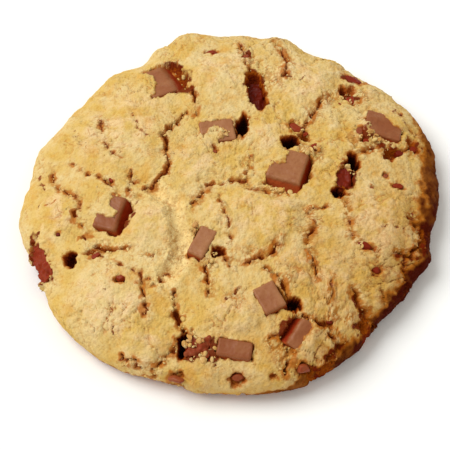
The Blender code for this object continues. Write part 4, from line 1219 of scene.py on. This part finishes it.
def chocolate_material():
    """Milk chocolate, taupe and satin on top and dark red-brown on its broken and melted sides, partly
    painted shade, with painted light on sides that face the near side and painted shade on chunks deep in
    pits.
    """
    material, tree, shader, place = new_material("chocolate")
    fields = {name: mottle(tree, place, *texture) for name, texture in CHOCOLATE_MOTTLES.items()}
    clouded = ranged(tree, fields["cloud"], 0.4, 0.62, -0.2, 0.25)
    fields["paleness"] = combined(tree, attribute(tree, "pale"), clouded, "ADD")
    top = layered(tree, fields, linear(*CHOCOLATE_DARK), CHOCOLATE_LAYERS)
    flank = layered(tree, fields, linear(*CHOCOLATE_FLANK), FLANK_LAYERS)
    colour = mixed(tree, masked(tree, fields, FLANK_MASK), top, flank)
    tree.links.new(colour, shader.inputs["Base Color"])
    tree.links.new(ranged(tree, fields["cloud"], 0.35, 0.65, 0.52, 0.4), shader.inputs["Roughness"])
    gloss = ranged(tree, attribute(tree, "side"), 0.2, 0.8, 0.35, 0.12)
    tree.links.new(gloss, shader.inputs["Specular IOR Level"])
    bump = node(tree, "ShaderNodeBump", {
        "Height": fields["fleck"], "Strength": 0.4, "Distance": FLECK_HEIGHT * MM})
    tree.links.new(bump.outputs["Normal"], shader.inputs["Normal"])
    return material


def floor_material():
    """Plain pale floor."""
    material, tree, shader, place = new_material("floor")
    cloud = mottle(tree, place, FLOOR_CLOUD)
    tree.links.new(mixed(tree, cloud, linear(*FLOOR_DARK), linear(*FLOOR_PALE)), shader.inputs["Base Color"])
    shader.inputs["Roughness"].default_value = 0.9
    return material


def make_cookie():
    """The dough, its chunks, chips and crumbs."""
    crust_look, chocolate_look = crust_material(), chocolate_material()
    dough, points, normals, looks = crust_mesh()
    add_piece("dough", dough, crust_look, "dough", "cookie")
    crumbs = add_piece("crumbs", dough_crumbs(points, normals, looks), crust_look, "dough")
    crumbs.data.shade_flat()
    add_piece("chips", chips_mesh(points), chocolate_look, "chocolate", "cookie")
    for chunk in CHUNKS:
        piece = chunk.name.replace("chunk", "chocolate")
        add_piece(piece, chunk_mesh(chunk), chocolate_look, "chocolate", chunk.name)


def make_floor():
    """Plain floor under the cookie."""
    plane = bmesh.new()
    bmesh.ops.create_grid(plane, x_segments=1, y_segments=1, size=FLOOR_HALF_WIDTH)
    mesh = bpy.data.meshes.new("floor")
    plane.to_mesh(mesh)
    plane.free()
    mesh.materials.append(floor_material())
    floor = bpy.data.objects.new("floor", mesh)
    bpy.context.scene.collection.objects.link(floor)


def make_light():
    """Wide soft lamp and pale sky."""
    lamp = bpy.data.lights.new("key", "SUN")
    lamp.energy = SUN_STRENGTH
    lamp.angle = np.radians(SUN_ANGLE)
    lamp.color = SUN_COLOUR
    sun = bpy.data.objects.new("key", lamp)
    sun.rotation_euler = Vector(SUN_DIRECTION).to_track_quat("Z", "Y").to_euler()
    bpy.context.scene.collection.objects.link(sun)
    world = bpy.data.worlds.new("sky")
    world.use_nodes = True
    background = world.node_tree.nodes["Background"]
    background.inputs["Color"].default_value = (*SKY_COLOUR, 1.0)
    background.inputs["Strength"].default_value = SKY_STRENGTH
    bpy.context.scene.world = world


def make_camera():
    """Camera at the viewing angle of the photograph."""
    lens = bpy.data.cameras.new("camera")
    lens.lens = CAMERA_LENS
    lens.sensor_width = CAMERA_SENSOR
    lens.clip_start = CAMERA_CLIP
    camera = bpy.data.objects.new("camera", lens)
    tilt = np.radians(CAMERA_ELEVATION)
    back = Vector((0.0, -np.cos(tilt), np.sin(tilt)))
    camera.location = (Vector(CAMERA_TARGET) + back * CAMERA_DISTANCE) * MM
    camera.rotation_euler = (np.pi / 2 - tilt, 0.0, 0.0)
    bpy.context.scene.collection.objects.link(camera)
    bpy.context.scene.camera = camera
    bpy.context.scene.view_settings.view_transform = "Standard"


make_cookie()
make_floor()
make_light()
make_camera()
